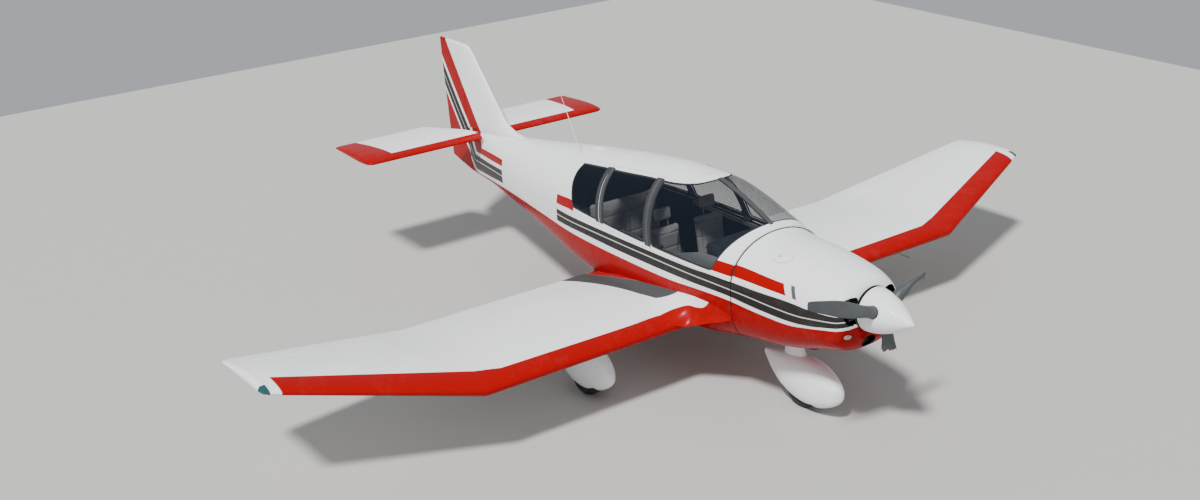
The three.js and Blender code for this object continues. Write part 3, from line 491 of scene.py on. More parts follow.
def fuselage_paint():
    finish = Finish("fuselage_paint")
    x, y, z = finish.axes()

    def height(points):
        return finish.curve(x, points, 0.7, 1.4)

    def above(line_z):
        return (z - line_z).over(0)

    slant = z + (x + 3.5) * 1.22
    steep = z + (x + 3.5) * 1.315
    tail = 1 - x.over(-2.045)
    ahead = x.over(-0.655)
    marked = tail | ahead
    foot, middle, top = height(BAND_FOOT), height(BAND_MIDDLE), height(BAND_TOP)
    rising = 1 - slant.over(1.905)
    band = above(foot) & slant.over(1.672) & ((1 - above(top)) | (rising & tail)) & marked
    middle_line = (z - middle).within(-0.005, 0.005) & slant.over(1.79)
    rising_line = slant.within(1.774, 1.790) & above(middle)
    line = (middle_line | rising_line) & band
    lower = (1 - above(height(RED_TOP))) | (1 - slant.over(1.620))
    over_foot, under_top = above(height(UPPER_FOOT)), 1 - above(height(UPPER_TOP))
    tail_red = slant.over(1.977) & over_foot & ((1 - steep.over(2.328)) | under_top)
    front_end = (x - z * 0.425).over(1.235) & (1 - (x + z * 0.70).over(3.448))
    side_red = over_foot & under_top & (x.within(-0.655, -0.30) | front_end)
    beside_seam = abs(y) - finish.curve(x, ROOF_SEAM, 0.1, 0.3)
    roof_seam = beside_seam.within(-0.0016, 0.0016) & z.over(1.5) & x.within(-0.46, 0.96)
    red = lower | (tail_red & tail) | side_red
    shade = finish.colour(red, WHITE, RED)
    shade = finish.colour(band, shade, BAND)
    shade = finish.colour(line, shade, LINE)
    shade = finish.colour(roof_seam * 0.5, shade, BAND)
    return paint_over(finish, shade)


def wing_paint():
    finish = Finish("wing_paint")
    x, y, z = finish.axes()
    side = abs(y)
    # The stripe's rear edge flares at the root, runs straight to the crank, then follows the swept nose
    inner_edge = finish.curve(side, STRIPE_ROOT, 1.2, 2.0)
    outer_edge = 1.335 - (side - 2.66) * 0.325
    red = (x - (inner_edge & outer_edge)).over(0)
    inboard = 1 - side.over(4.22, 0.01)
    inside = side + x * 0.03 + finish.clamped((0.5 - x) * 0.1)
    root = (1 - inside.over(0.612)) & (1 - x.over(1.42))
    shade = finish.colour((red & inboard) | root, WHITE, RED)
    walk = inside.over(0.612) & (1 - (side + x * 0.098).over(0.816)) & (1 - (x + side * 1.6).over(2.30))
    walk = walk & (1 - y.over(0)) & (z - x * 0.0526).over(0.6108)
    grit = finish.noise(420.0, 3.0, 0.7)
    shade = finish.colour(walk, shade, finish.colour(grit, (0.042, 0.043, 0.045), (0.085, 0.086, 0.089)))
    for place in (4.285, 4.305):
        seam = (side - place).within(-0.0014, 0.0014)
        shade = finish.colour(seam * 0.55, shade, BAND)
    return paint_over(finish, shade, 0.5, walk)


def tailplane_paint():
    finish = Finish("tailplane_paint")
    x, y, z = finish.axes()
    side = abs(y)
    red = x.over(-2.700) | (side + (x + 2.6) * 0.10).over(1.165)
    shade = finish.colour(red, WHITE, RED)
    return paint_over(finish, shade)


def plain_paint(name, colour, streaks=1.0):
    finish = Finish(name)
    return paint_over(finish, (*colour, 1.0), streaks)


def glass():
    finish = Finish("tinted_glass")
    edge = finish.node("ShaderNodeLayerWeight", None, Blend=0.25).outputs["Facing"]
    smear = finish.noise(6.0, 4.0, 0.6)
    return finish.set(Base_Color=(0.012, 0.018, 0.030), Roughness=0.04 + smear * 0.05,
                      Alpha=Amount(finish, edge) * 0.30 + 0.17, Specular_IOR_Level=0.22, Coat_Weight=0.0)


def scaled(colour, share, more=0.0):
    return tuple(min(1.0, c * share + more) for c in colour)


def rubber(name, colour, scale=60.0):
    finish = Finish(name)
    grain = finish.noise(scale, 4.0, 0.6)
    finish.bump(grain, 0.25, 0.001)
    shade = finish.colour(finish.noise(7.0, 4.0, 0.6), colour, scaled(colour, 2.0, 0.01))
    return finish.set(Base_Color=shade, Roughness=0.72 + grain * 0.2)


def metal(name, colour, rough=0.32):
    finish = Finish(name)
    grain = finish.noise(40.0, 5.0, 0.65, stretch=(1.0, 1.0, 6.0))
    finish.bump(grain, 0.08, 0.001)
    shade = finish.colour(grain, scaled(colour, 0.8), colour)
    return finish.set(Base_Color=shade, Roughness=rough + grain * 0.2, Metallic=0.85)


def cloth(name, colour):
    finish = Finish(name)
    x, y, z = finish.axes()
    threads = 900.0
    weave = finish.sum("SINE", (x + z) * threads) * finish.sum("SINE", y * threads)
    fuzz = finish.noise(180.0, 4.0, 0.7)
    finish.bump(weave * 0.5 + fuzz, 0.35, 0.0012)
    wear = finish.noise(8.0, 4.0, 0.6)
    shade = finish.colour(wear, scaled(colour, 0.72), scaled(colour, 1.18))
    return finish.set(Base_Color=shade, Roughness=0.86 + fuzz * 0.1)


def trim(name, colour, rough=0.55, gloss=0.5):
    finish = Finish(name)
    grain = finish.noise(220.0, 3.0, 0.6)
    finish.bump(grain, 0.2, 0.0006)
    shade = finish.colour(finish.noise(5.0, 4.0, 0.6), colour, scaled(colour, 1.6, 0.004))
    return finish.set(Base_Color=shade, Roughness=rough + grain * 0.15, Specular_IOR_Level=gloss)


FUSELAGE = fuselage_paint()
WING_PAINT = wing_paint()
TAILPLANE_PAINT = tailplane_paint()
WHITE_PAINT = plain_paint("white_paint", WHITE)
GLASS = glass()
BOW_GREY = trim("bow_grey", (0.032, 0.034, 0.036), 0.62, 0.15)
CABIN_DARK = trim("cabin_lining", (0.007, 0.010, 0.017), 0.75)
CABIN_GREY = trim("cabin_grey", (0.16, 0.165, 0.17), 0.6)
BLADE_GREY = trim("blade_grey", (0.050, 0.054, 0.057), 0.4, 0.35)
TYRE = rubber("tyre_rubber", (0.014, 0.014, 0.015))
RIM = metal("rim_metal", (0.55, 0.56, 0.57))
STEEL = metal("gear_metal", (0.42, 0.43, 0.44), 0.38)
LAMP = trim("lamp_glass", (0.010, 0.055, 0.060), 0.12)
SCREW = metal("screw_heads", (0.10, 0.10, 0.105), 0.4)
SPLINTER = rubber("broken_end", (0.62, 0.58, 0.50), 160.0)
WHIP = trim("antenna_rod", (0.62, 0.60, 0.52), 0.4)
BURNT = metal("exhaust_metal", (0.16, 0.13, 0.11), 0.5)
SPAT_PAINT = plain_paint("spat_paint", WHITE)
TAIL_PAINT = fuselage_paint()
SEAL_AND_GAP_SHADE = rubber("seal_and_gap_shade", (0.012, 0.012, 0.013))
BOW_LIGHT = trim("bow_rib", (0.052, 0.055, 0.058), 0.6, 0.15)
SEAT_CLOTH = cloth("seat_cloth", (0.27, 0.265, 0.26))
VENT_GREY = trim("vent_grille", (0.060, 0.064, 0.066), 0.6, 0.3)
ENGINE = metal("engine_casting", (0.30, 0.31, 0.32), 0.42)
FIREWALL = metal("firewall_sheet", (0.05, 0.05, 0.052), 0.5)
DIAL_FACE = trim("dial_face", (0.006, 0.006, 0.007), 0.25)
DIAL_MARK = trim("dial_mark", (0.75, 0.75, 0.72), 0.5)
DOOR_LINE = trim("panel_gap", (0.16, 0.16, 0.165), 0.6)
CLEAR_LAMP = trim("landing_lamp", (0.34, 0.31, 0.28), 0.15)


# Fuselage skins, cut from one smooth body, and leaning lines on the cabin's side
def body_tube(start, end, columns, inset=0.0, ends=False):
    return skin(columns, BODY_SIDES, lambda u, v: body_point(start + (end - start) * u, v, inset), ends)


def canopy_tube(start, end, columns, inset=0.0):
    return skin(columns, BODY_SIDES, lambda u, v: canopy_point(start + (end - start) * u, v, inset), False)


def joint_edge(z, shift=0.0):
    return (-0.350 + shift - 0.479 * (z - SILL), z)


def bow_x(x, z):
    return x - BOW_LEAN * (z - SILL)


def bow_foot(x, foot=WINDOW_FOOT):
    return (bow_x(x, foot), foot)


def bow_top(x):
    return (bow_x(x, CUT_TOP), CUT_TOP)


def rudder_x(z, shift=0.0):
    (ax, _, az), (bx, _, bz) = RUDDER_LINE
    return ax + (bx - ax) * (z - az) / (bz - az) + shift


def body_depth(point):
    """Under 1 inside the fuselage skin and 1 on it"""
    x, y, z = point
    _, top, bottom, half, wide, top_power, bottom_power = row_at(BODY, x)
    exponent = top_power if z > wide else bottom_power
    height = top - wide if z > wide else wide - bottom
    return (abs(y) / half) ** exponent + (abs(z - wide) / height) ** exponent


def line_inside(piece, depth_at, limit):
    """Gives the second material to the faces that look into the cabin"""
    for face in piece.data.polygons:
        outward = face.normal.dot(Vector((0, face.center.y, face.center.z - 1.12)))
        face.material_index = 1 if depth_at(face.center) < limit and outward < -0.02 else 0


def build_rear_fuselage():
    piece = wall(body_tube(TAIL_END + 0.002, -0.30, 68), 0.006)
    reserve = [joint_edge(SILL - 0.003, -SEAM), (0.6, SILL - 0.003), (0.6, 2.0), joint_edge(2.0, -SEAM)]
    combine(piece, prism(reserve, *ACROSS))
    behind = [(rudder_x(0.5, 0.046), 0.5), (rudder_x(2.0, 0.046), 2.0), (-3.8, 2.0), (-3.8, 0.5)]
    combine(piece, prism(behind, -0.3, 0.3, "y"))
    line_inside(piece, body_depth, INNER_SIDE)
    finished(piece, "rear_fuselage_skin", "airframe", "white_paint", [FUSELAGE, CABIN_DARK],
             ["rear_fuselage"])


def build_tub():
    piece = wall(body_tube(BULKHEAD, TUB_FRONT, 52), 0.020)
    combine(piece, block((-0.9, -0.9, SILL), (2.2, 0.9, 2.1)))
    line_inside(piece, body_depth, 0.97)
    finished(piece, "cabin_tub_skin", "airframe", "red_paint", [FUSELAGE, CABIN_DARK], ["cabin_tub"])
    bulkhead = body_tube(BULKHEAD + 0.004, BULKHEAD + 0.016, 2, inset=0.018, ends=True)
    combine(bulkhead, block((-0.9, -0.9, SILL - 0.004), (0.2, 0.9, 2.1)))
    finished(bulkhead, "rear_bulkhead", "airframe", "dark_trim", CABIN_DARK)
    rail = soften(block((0.24, 0.495, SILL - 0.030), (1.96, 0.511, 1.209)), 0.002)
    finished(joined([rail, mirrored(rail)]), "canopy_rails", "airframe", "bare_metal", STEEL)
    # Grey trim on the cabin's inner side, shaped and lightened as a painted patch of sunlight on the dark
    # lining
    side = prism([(1.160, 1.194), (1.770, 1.194), (1.770, 1.340), (1.560, 1.325)], 0.485, 0.491, "y")
    soften(side, 0.002)
    finished(joined([side, mirrored(side)]), "cabin_side_trim", "airframe", "dark_trim", CABIN_GREY)
    scuttle = wall(canopy_tube(1.70, TUB_FRONT, 14, inset=0.022), 0.012)
    keep = [(1.762, 1.163), (TUB_END, 1.163), (TUB_END, 1.7), (1.935, 1.7), (1.925, 1.54)]
    combine(scuttle, prism(keep, *ACROSS), "INTERSECT")
    finished(scuttle, "scuttle_cover", "airframe", "dark_trim", CABIN_GREY)


# Window outlines on the side of the cabin, x then z
REAR_BAY = [(-0.318, WINDOW_FOOT), bow_foot(0.132), bow_top(0.132), (-0.40, CUT_TOP),
            (-0.442, 1.590), (-0.457, 1.524), (-0.437, 1.440), (-0.380, 1.339)]
MIDDLE_BAY = [bow_foot(0.228), bow_foot(0.897), bow_top(0.897), bow_top(0.228)]
FRONT_BAY = [bow_foot(0.993), (1.768, WINDOW_FOOT), (1.806, 1.341), (1.842, 1.434),
             (1.867, 1.492), (1.893, 1.544), (1.916, 1.600), (1.750, CUT_TOP), bow_top(0.993)]
# x, half width of the roof panel
ROOF = [(-0.700, 0.270), (-0.440, 0.282), (0.030, 0.295), (0.410, 0.299), (0.760, 0.284), (0.890, 0.274),
        (1.000, 0.254), (1.100, 0.224), (1.177, 0.179), (1.223, 0.108), (1.245, 0.022)]


def rounded_corners(outline, radius, steps=4):
    """An outline with each corner turned into a small arc"""
    smooth = []
    count = len(outline)
    for i in range(count):
        before, here, after = (Vector(outline[(i + k) % count]) for k in (-1, 0, 1))
        cut = min(radius, (before - here).length * 0.45, (after - here).length * 0.45)
        start = here + (before - here).normalized() * cut
        end = here + (after - here).normalized() * cut
        for step in range(steps + 1):
            t = step / steps
            smooth.append(tuple(start * (1 - t) ** 2 + here * 2 * t * (1 - t) + end * t ** 2))
    return smooth


def shrunk(outline, inset):
    """An outline with each side moved inwards"""
    count = len(outline)
    area = sum(outline[i][0] * outline[(i + 1) % count][1] - outline[(i + 1) % count][0] * outline[i][1]
               for i in range(count))
    way = 1 if area > 0 else -1
    sides = []
    for i in range(count):
        a, b = Vector(outline[i]), Vector(outline[(i + 1) % count])
        along = (b - a).normalized()
        inward = Vector((-along.y, along.x)) * way
        sides.append((a + inward * inset, along))
    corners = []
    for i in range(count):
        (p, d), (q, e) = sides[i - 1], sides[i]
        cross = d.x * e.y - d.y * e.x
        t = ((q.x - p.x) * e.y - (q.y - p.y) * e.x) / cross
        corners.append(tuple(p + d * t))
    return corners


def roof_line(way, grow):
    """A smooth line along one side of the roof panel"""
    places = [-0.70 + 0.05 * i for i in range(32)] + [0.90 + 0.025 * i for i in range(11)]
    places += [1.177, 1.20, 1.223, 1.237, 1.245]
    return [(x, way * (row_at(ROOF, x)[1] + grow)) for x in places]


def roof_outline(way, shrink):
    """The plan of one side of the cabin outside the roof"""
    return roof_line(way, shrink) + [(2.1, way * (0.016 + shrink)), (2.1, way * 0.9), (-0.70, way * 0.9)]


def window_tool(bay, way, inset, roof_inset):
    """The space of one window: its side outline beside the roof"""
    side = prism(rounded_corners(shrunk(bay, inset), 0.035), *sorted((way * 0.002, way * 0.9)), "y")
    combine(side, prism(roof_outline(way, roof_inset), 1.0, 2.1, "z"), "INTERSECT")
    return side


BAYS = {"rear": REAR_BAY, "middle": MIDDLE_BAY, "front": FRONT_BAY}


def build_glazing():
    sources = {"rear": ("rear_window", "airframe", body_tube, (-0.6, 0.2)),
               "middle": ("canopy_window", "canopy", canopy_tube, (0.0, 1.2)),
               "front": ("windscreen", "canopy", canopy_tube, (0.5, 1.98))}
    for bay, (word, rider, tube, (start, end)) in sources.items():
        columns = round((end - start) / 0.035)
        for side, way in (("left", 1), ("right", -1)):
            pane = wall(tube(start, end, columns, inset=0.0015), 0.004)
            combine(pane, window_tool(BAYS[bay], way, 0.0015, 0.0015), "INTERSECT")
            finished(pane, f"{word}_{side}_glass", rider, "tinted_glass", GLASS, [f"{word}_{side}"])
            seal = wall(tube(start, end, columns, inset=-0.0015), 0.009)
            combine(seal, window_tool(BAYS[bay], way, -0.002, -0.002), "INTERSECT")
            combine(seal, window_tool(BAYS[bay], way, 0.009, 0.009))
            finished(seal, f"{word}_{side}_seal", rider, "dark_trim", SEAL_AND_GAP_SHADE)


def build_rear_cabin():
    piece = wall(body_tube(-0.62, 0.19, 26), 0.012)
    keep = [joint_edge(CANOPY_FOOT), bow_foot(0.177, CANOPY_FOOT), bow_top(0.177), joint_edge(CUT_TOP)]
    combine(piece, prism(keep, *ACROSS), "INTERSECT")
    for way in (1, -1):
        combine(piece, window_tool(REAR_BAY, way, 0, 0))
    line_inside(piece, body_depth, INNER_SIDE)
    finished(piece, "rear_cabin_skin", "airframe", "white_paint", [FUSELAGE, CABIN_DARK],
             ["rear_cabin_shell"])


def canopy_depth(point):
    x, y, z = point
    _, top, half, top_power = row_at(CANOPY, x)
    height = top - CANOPY_WIDEST if z > CANOPY_WIDEST else CANOPY_WIDEST - CANOPY_LOW
    return (abs(y) / half) ** top_power + (abs(z - CANOPY_WIDEST) / height) ** top_power


def build_canopy():
    piece = wall(canopy_tube(0.0, 1.989, 64), 0.012)
    keep = [bow_foot(0.183, CANOPY_FOOT), (1.984, CANOPY_FOOT), (1.984, CUT_TOP), bow_top(0.183)]
    combine(piece, prism(keep, *ACROSS), "INTERSECT")
    for way in (1, -1):
        for bay in (MIDDLE_BAY, FRONT_BAY):
            combine(piece, window_tool(bay, way, 0, 0))
    line_inside(piece, canopy_depth, INNER_SIDE)
    finished(piece, "canopy_frame_skin", "canopy", "white_paint", [FUSELAGE, CABIN_DARK], ["canopy_frame"])


def bow_strip(tube, span, low, high, raised, name, rider, finish):
    """A band over the cabin between two leaning lines"""
    piece = wall(tube(*span, 30, inset=-raised), raised + 0.004)
    outline = [bow_foot(low, BOW_FOOT), bow_foot(high, BOW_FOOT), bow_top(high), bow_top(low)]
    combine(piece, prism(outline, *ACROSS), "INTERSECT")
    edge = [corner for corner in roof_line(1, -0.012) if corner[0] < 1.0]
    combine(piece, prism(edge + [(x, -y) for x, y in reversed(edge)], 1.5, 2.1, "z"))
    finished(piece, name, rider, "dark_trim", finish)


def build_bows():
    bow_strip(body_tube, (-0.2, 0.3), 0.124, 0.176, 0.003, "rear_bow_fixed", "airframe", BOW_GREY)
    bow_strip(canopy_tube, (-0.2, 0.4), 0.184, 0.240, 0.004, "rear_bow", "canopy", BOW_GREY)
    bow_strip(canopy_tube, (-0.2, 0.4), 0.199, 0.222, 0.005, "rear_bow_rib", "canopy", BOW_LIGHT)
    bow_strip(canopy_tube, (0.6, 1.1), 0.900, 0.990, 0.004, "front_bow", "canopy", BOW_GREY)
    bow_strip(canopy_tube, (0.6, 1.1), 0.931, 0.958, 0.005, "front_bow_rib", "canopy", BOW_LIGHT)
    strut = wall(canopy_tube(1.16, 1.93, 26, inset=-0.003), 0.008)
    combine(strut, prism([(1.235, -0.024), (1.92, -0.019), (1.92, 0.019), (1.235, 0.024)], 1.4, 1.9, "z"),
            "INTERSECT")
    finished(strut, "windscreen_strut", "canopy", "dark_trim", BOW_LIGHT)


def patch(tube, span, outline, axis, low, high, raised, name, rider, slot, finish, columns=24):
    """A thin raised plate that follows the skin inside an outline"""
    piece = wall(tube(*span, columns, inset=-raised), raised + 0.002)
    combine(piece, prism(outline, low, high, axis), "INTERSECT")
    return finished(piece, name, rider, slot, finish)


def ellipse(u, v, across, up, steps=36, tilt=0.0):
    turn = math.radians(tilt)
    points = []
    for i in range(steps):
        angle = 2 * math.pi * i / steps
        a, b = across * math.cos(angle), up * math.sin(angle)
        points.append((u + a * math.cos(turn) - b * math.sin(turn),
                       v + a * math.sin(turn) + b * math.cos(turn)))
    return points


# Outline of the air inlet beside the spinner, y then z
INLET = [(0.148, 1.100), (0.190, 1.078), (0.262, 1.096), (0.302, 1.160), (0.304, 1.250), (0.282, 1.304),
         (0.210, 1.320), (0.150, 1.314), (0.138, 1.200)]


def build_cowl():
    def corner(u, v):
        x = COWL_BACK + (3.1125 - COWL_BACK) * u
        ease = max(0.0, (x - 3.03) / 0.0825)
        return body_point(min(x, 3.110), v, 0.05 * (1 - math.sqrt(max(0.0, 1 - ease * ease))))

    whole = skin(60, 128, corner, ends=False)
    in_edit_mode(whole, close_front)
    wall(whole, 0.008)
    for way in (1, -1):
        combine(whole, prism(rounded_corners([(way * y, z) for y, z in INLET], 0.030), 2.9, 3.3, "x"))
    combine(whole, prism(ellipse(0, THRUST_Z, 0.110, 0.110), 2.9, 3.3, "x"))
    combine(whole, prism(ellipse(-0.015, 0.892, 0.078, 0.050), 2.9, 3.3, "x"))
    combine(whole, rod(steer_point(0.52), steer_point(0.90), 0.058))
    combine(whole, rod((*EXHAUST, 0.5), (*EXHAUST, 0.9), 0.036))
    combine(whole, block((1.9, -0.17, 0.45), (2.14, 0.17, 0.70)))
    lower = copy_of(whole)
    combine(whole, block((1.9, -0.8, 1.1205), (3.3, 0.8, 1.9)), "INTERSECT")
    combine(lower, block((1.9, -0.8, 0.3), (3.3, 0.8, 1.1195)), "INTERSECT")
    for piece, word, slot in ((whole, "cowl_upper", "white_paint"), (lower, "cowl_lower", "red_paint")):
        line_inside(piece, body_depth, 0.98)
        finished(piece, f"{word}_skin", "airframe", slot, [FUSELAGE, CABIN_DARK], [word])


def close_front():
    """Fills the open front ring of the cowl, whose skin is already drawn in to a rounded nose"""
    bpy.ops.mesh.select_all(action="DESELECT")
    mesh = bmesh.from_edit_mesh(bpy.context.edit_object.data)
    for edge in mesh.edges:
        edge.select_set(edge.is_boundary and edge.verts[0].co.x > 3.0)
    mesh.select_flush_mode()
    bpy.ops.mesh.edge_face_add()
    bpy.ops.mesh.select_all(action="SELECT")
    bpy.ops.mesh.normals_make_consistent(inside=False)


def steer_point(z):
    return (2.310 - (z - 0.190) * math.tan(math.radians(13)), 0.0, z)


# Wing and tail sections
def section_point(nose, tail, ratio, camber, around):
    """A corner of a wing section: around runs from the tail over the top to the nose, and back below"""
    s = (1 + math.cos(2 * math.pi * around)) / 2
    side = 1 if around <= 0.5 else -1
    chord = math.hypot(tail[0] - nose[0], tail[2] - nose[2])
    curve = 0.2969 * math.sqrt(s) - 0.126 * s - 0.3516 * s ** 2 + 0.2843 * s ** 3 - 0.1036 * s ** 4
    lift = camber * 4 * s * (1 - s) + side * (5 * ratio * curve + 0.0012 * s)
    x, y, z = (nose[i] + (tail[i] - nose[i]) * s for i in range(3))
    return (x, y, z + lift * chord)


def stations(table, counts):
    """The rows of a table with straight steps between them"""
    rows = []
    for (low, high), count in zip(zip(table, table[1:]), counts):
        rows += [[a + (b - a) * i / count for a, b in zip(low, high)] for i in range(count)]
    return rows + [list(table[-1])]


def section_skin(rows, place, around=64):
    """A skin through wing sections, its tail closed by a narrow strip"""
    def corner(u, v):
        step = round(v * (around + 1))
        return place(rows[round(u * (len(rows) - 1))], 0.0 if step == around + 1 else step / around)

    return skin(len(rows) - 1, around + 1, corner)


def wing_blank():
    def place(row, v):
        nose_y, tail_y, nose_x, nose_z, tail_x, tail_z, ratio = row
        return section_point((nose_x, nose_y, nose_z), (tail_x, tail_y, tail_z), ratio, WING_CAMBER, v)

    return section_skin(stations(WING, (8, 8, 3, 3)), place)


def hinge_matrix(a, b):
    a, b = Vector(a), Vector(b)
    unit = (b - a).normalized()
    ahead = Vector((1, 0, 0))
    ahead = (ahead - unit * ahead.dot(unit)).normalized()
    turn = Matrix((ahead, unit, ahead.cross(unit))).transposed().to_4x4()
    return Matrix.Translation(a) @ turn, (b - a).length


def behind_hinge(a, b, grow):
    turn, length = hinge_matrix(a, b)
    piece = block((-0.9, -grow, -0.25), (0.0, length + grow, 0.25))
    piece.data.transform(turn)
    return piece


FLAP = {"a": (0.205, 0.650, 0.644), "b": (0.205, 2.470, 0.644), "radii": (0.044, 0.044)}
AILERON = {"a": (0.232, 2.705, 0.669), "b": (0.352, 4.150, 0.962), "radii": (0.051, 0.028)}


def moving_surface(blank, line):
    a, b = line["a"], line["b"]
    nose = combine(copy_of(blank), rod(a, b, *line["radii"], sides=40), "INTERSECT")
    piece = combine(copy_of(blank), behind_hinge(a, b, 0.0), "INTERSECT")
    return combine(piece, nose, "UNION")


def cut_for(piece, line):
    a, b = Vector(line["a"]), Vector(line["b"])
    reach = (b - a) * 0.005
    low, high = line["radii"]
    combine(piece, behind_hinge(a, b, 0.006))
    return combine(piece, rod(a - reach, b + reach, low + 0.006, high + 0.006, sides=40))


def both_sides(piece, word, rider, slot, finish, ending="_skin"):
    """The port piece and its starboard mirror"""
    twin = mirrored(piece)
    for each, side in ((piece, "left"), (twin, "right")):
        body = rider if rider == "airframe" else f"{rider}_{side}"
        node = f"{word}_{side}"
        finished(each, node + ending, body, slot, finish, [node] if node in CAD_NODES else [])


def build_wings():
    blank = wing_blank()
    flap, aileron = moving_surface(blank, FLAP), moving_surface(blank, AILERON)
    lamp = combine(copy_of(blank), block((0.9203, 4.3003, 0.94), (1.06, 4.4, 1.06)), "INTERSECT")
    for line in (FLAP, AILERON):
        cut_for(blank, line)
    combine(blank, block((0.200, 0.644, 0.40), (0.255, 2.476, 0.644)))
    combine(blank, block((0.920, 4.300, 0.94), (1.06, 4.4, 1.06)))
    combine(blank, body_tube(-0.4, 2.1, 40, inset=0.012, ends=True))
    both_sides(blank, "wing", "airframe", "white_paint", WING_PAINT)
    both_sides(flap, "flap", "flap", "white_paint", WING_PAINT)
    both_sides(aileron, "aileron", "aileron", "white_paint", WING_PAINT)
    both_sides(lamp, "nav_lamp", "airframe", "lamp_glass", LAMP)


# x, outer y, outer z, height on the fuselage side
FAIRING = [(0.020, 0.60, 0.643, 0.675), (0.250, 0.62, 0.698, 0.735), (0.450, 0.65, 0.736, 0.790),
           (0.800, 0.70, 0.786, 0.838), (1.100, 0.78, 0.802, 0.885), (1.400, 0.86, 0.777, 0.925),
           (1.530, 0.84, 0.726, 0.938), (1.600, 0.72, 0.700, 0.940), (1.700, 0.655, 0.730, 0.937),
           (1.800, 0.610, 0.768, 0.925), (1.900, 0.560, 0.800, 0.890), (1.972, 0.515, 0.826, 0.850)]


def build_root_fairing():
    """The ramp that carries the wing's upper skin up the fuselage side, and its nose ahead of the wing"""
    def side_of_body(x, z):
        low, high = 0.0, 0.25
        for _ in range(24):
            middle = (low + high) / 2
            if body_point(x, 1 - middle)[2] > z:
                low = middle
            else:
                high = middle
        return body_point(x, 1 - low)[1]

    def corner(u, v):
        x = FAIRING[0][0] + (FAIRING[-1][0] - FAIRING[0][0]) * u
        _, out_y, out_z, in_z = row_at(FAIRING, x)
        in_y = side_of_body(x, in_z)
        if v <= 0.6:
            t = v / 0.6
            hold_y, hold_z = in_y + (out_y - in_y) * 0.30, out_z + (in_z - out_z) * 0.22
            y = out_y * (1 - t) ** 2 + hold_y * 2 * t * (1 - t) + (in_y - 0.001) * t * t
            return (x, y, out_z * (1 - t) ** 2 + hold_z * 2 * t * (1 - t) + in_z * t * t)
        t = (v - 0.6) / 0.4
        away = math.sin(math.pi * t)
        y = in_y + (out_y - in_y) * t - 0.07 * away
        return (x, y, in_z + (out_z - in_z) * t - 0.035 * away)

    both_sides(skin(70, 28, corner), "wing_root_fairing", "airframe", "white_paint", WING_PAINT)


def tail_blank():
    def place(row, v):
        z, nose_x, tail_x, ratio = row
        x, _, half = section_point((nose_x, 0, 0), (tail_x, 0, 0), ratio, 0, v)
        return (x, half, z)

    return section_skin(stations(VERTICAL_TAIL, (3, 8, 3, 1, 2, 2, 2, 10, 3, 2)), place, 48)


def build_fin_and_rudder():
    blank = tail_blank()
    a, b = RUDDER_LINE
    radii = (0.044, 0.034)
    outline = [(a[0], a[2] - 0.04), (b[0], b[2] + 0.04), (-3.7, 2.4), (-3.7, 0.7)]
    rudder = combine(copy_of(blank), prism(outline, -0.2, 0.2, "y"), "INTERSECT")
    nose = combine(copy_of(blank), rod(a, b, *radii, sides=40), "INTERSECT")
    combine(rudder, nose, "UNION")
    combine(rudder, prism([(-2.70, 0.772), (-3.70, 0.940), (-3.70, 0.600), (-2.70, 0.600)], -0.2, 0.2, "y"))
    finished(rudder, "rudder_skin", "rudder", "white_paint", TAIL_PAINT, ["rudder"])
    combine(blank, prism(outline, -0.2, 0.2, "y"))
    reach = (Vector(b) - Vector(a)) * 0.01
    combine(blank, rod(Vector(a) - reach, Vector(b) + reach, radii[0] + 0.006, radii[1] + 0.006, sides=40))
    combine(blank, body_tube(TAIL_END, -0.5, 60, inset=0.004, ends=True))
    combine(blank, block((-3.3, -0.3, 0.5), (-1.5, 0.3, 1.330)))
    finished(blank, "fin_skin", "airframe", "white_paint", TAIL_PAINT, ["fin"])


def build_tailplane():
    def place(row, v):
        y, nose_x, tail_x, ratio = row
        return section_point((nose_x, y, TAILPLANE_Z), (tail_x, y, TAILPLANE_Z), ratio, 0, v)

    half = section_skin(stations(TAILPLANE, (10, 3, 3)), place, 48)
    inboard = [(-2.50, 0.118), (-2.76, 0.118), (-2.90, 0.170), (-3.10, 0.280), (-3.42, 0.400), (-3.60, 0.400),
               (-3.60, -0.1), (-2.3, -0.1), (-2.3, 0.118)]
    combine(half, prism(inboard, 1.1, 1.5, "z"))
    pair = joined([half, mirrored(half)])
    finished(pair, "tailplane_skin", "tailplane", "white_paint", TAILPLANE_PAINT, ["tailplane"])
    tube = rod((-2.80, -0.2, TAILPLANE_Z), (-2.80, 0.2, TAILPLANE_Z), 0.0195, sides=40)
    finished(tube, "tailplane_tube", "tailplane", "bare_metal", STEEL)


# Landing gear
FORK_CROWN = 0.386
# share of length, half width share, height share, lift share
SPAT = [
    (0.00, 0.10, 0.12, 0.50), (0.03, 0.32, 0.34, 0.50), (0.12, 0.64, 0.66, 0.50), (0.28, 0.94, 0.95, 0.50),
    (0.45, 1.00, 1.00, 0.50), (0.66, 0.84, 0.86, 0.53), (0.86, 0.44, 0.50, 0.60), (1.00, 0.06, 0.12, 0.70),
]
SPATS = {"main": {"front": 1.322, "back": 0.420, "half": 0.140, "top": 0.480, "bottom": 0.062, "y": 1.3},
         "nose": {"front": 2.822, "back": 1.850, "half": 0.132, "top": 0.474, "bottom": 0.050, "y": 0.0}}


def spat_point(spat, share, around):
    _, wide, high, lift = row_at(SPAT, share)
    if share < 0.12:
        ease = math.sqrt(share / 0.12)
        wide, high = wide * 0.35 + 0.64 * ease * 0.65, high * 0.35 + 0.66 * ease * 0.65
    angle = around * 2 * math.pi
    x = spat["front"] - share * (spat["front"] - spat["back"])
    middle = spat["bottom"] + lift * (spat["top"] - spat["bottom"])
    half = max(wide * spat["half"], 0.002)
    tall = max(high * (spat["top"] - spat["bottom"]) / 2, 0.002)
    return (x, spat["y"] + half * power(math.cos(angle), 2.3), middle + tall * power(math.sin(angle), 2.3))


def spat_skin(spat):
    return skin(56, 72, lambda u, v: spat_point(spat, u * u * (1.6 - 0.6 * u) if u < 1 else 1.0, v))


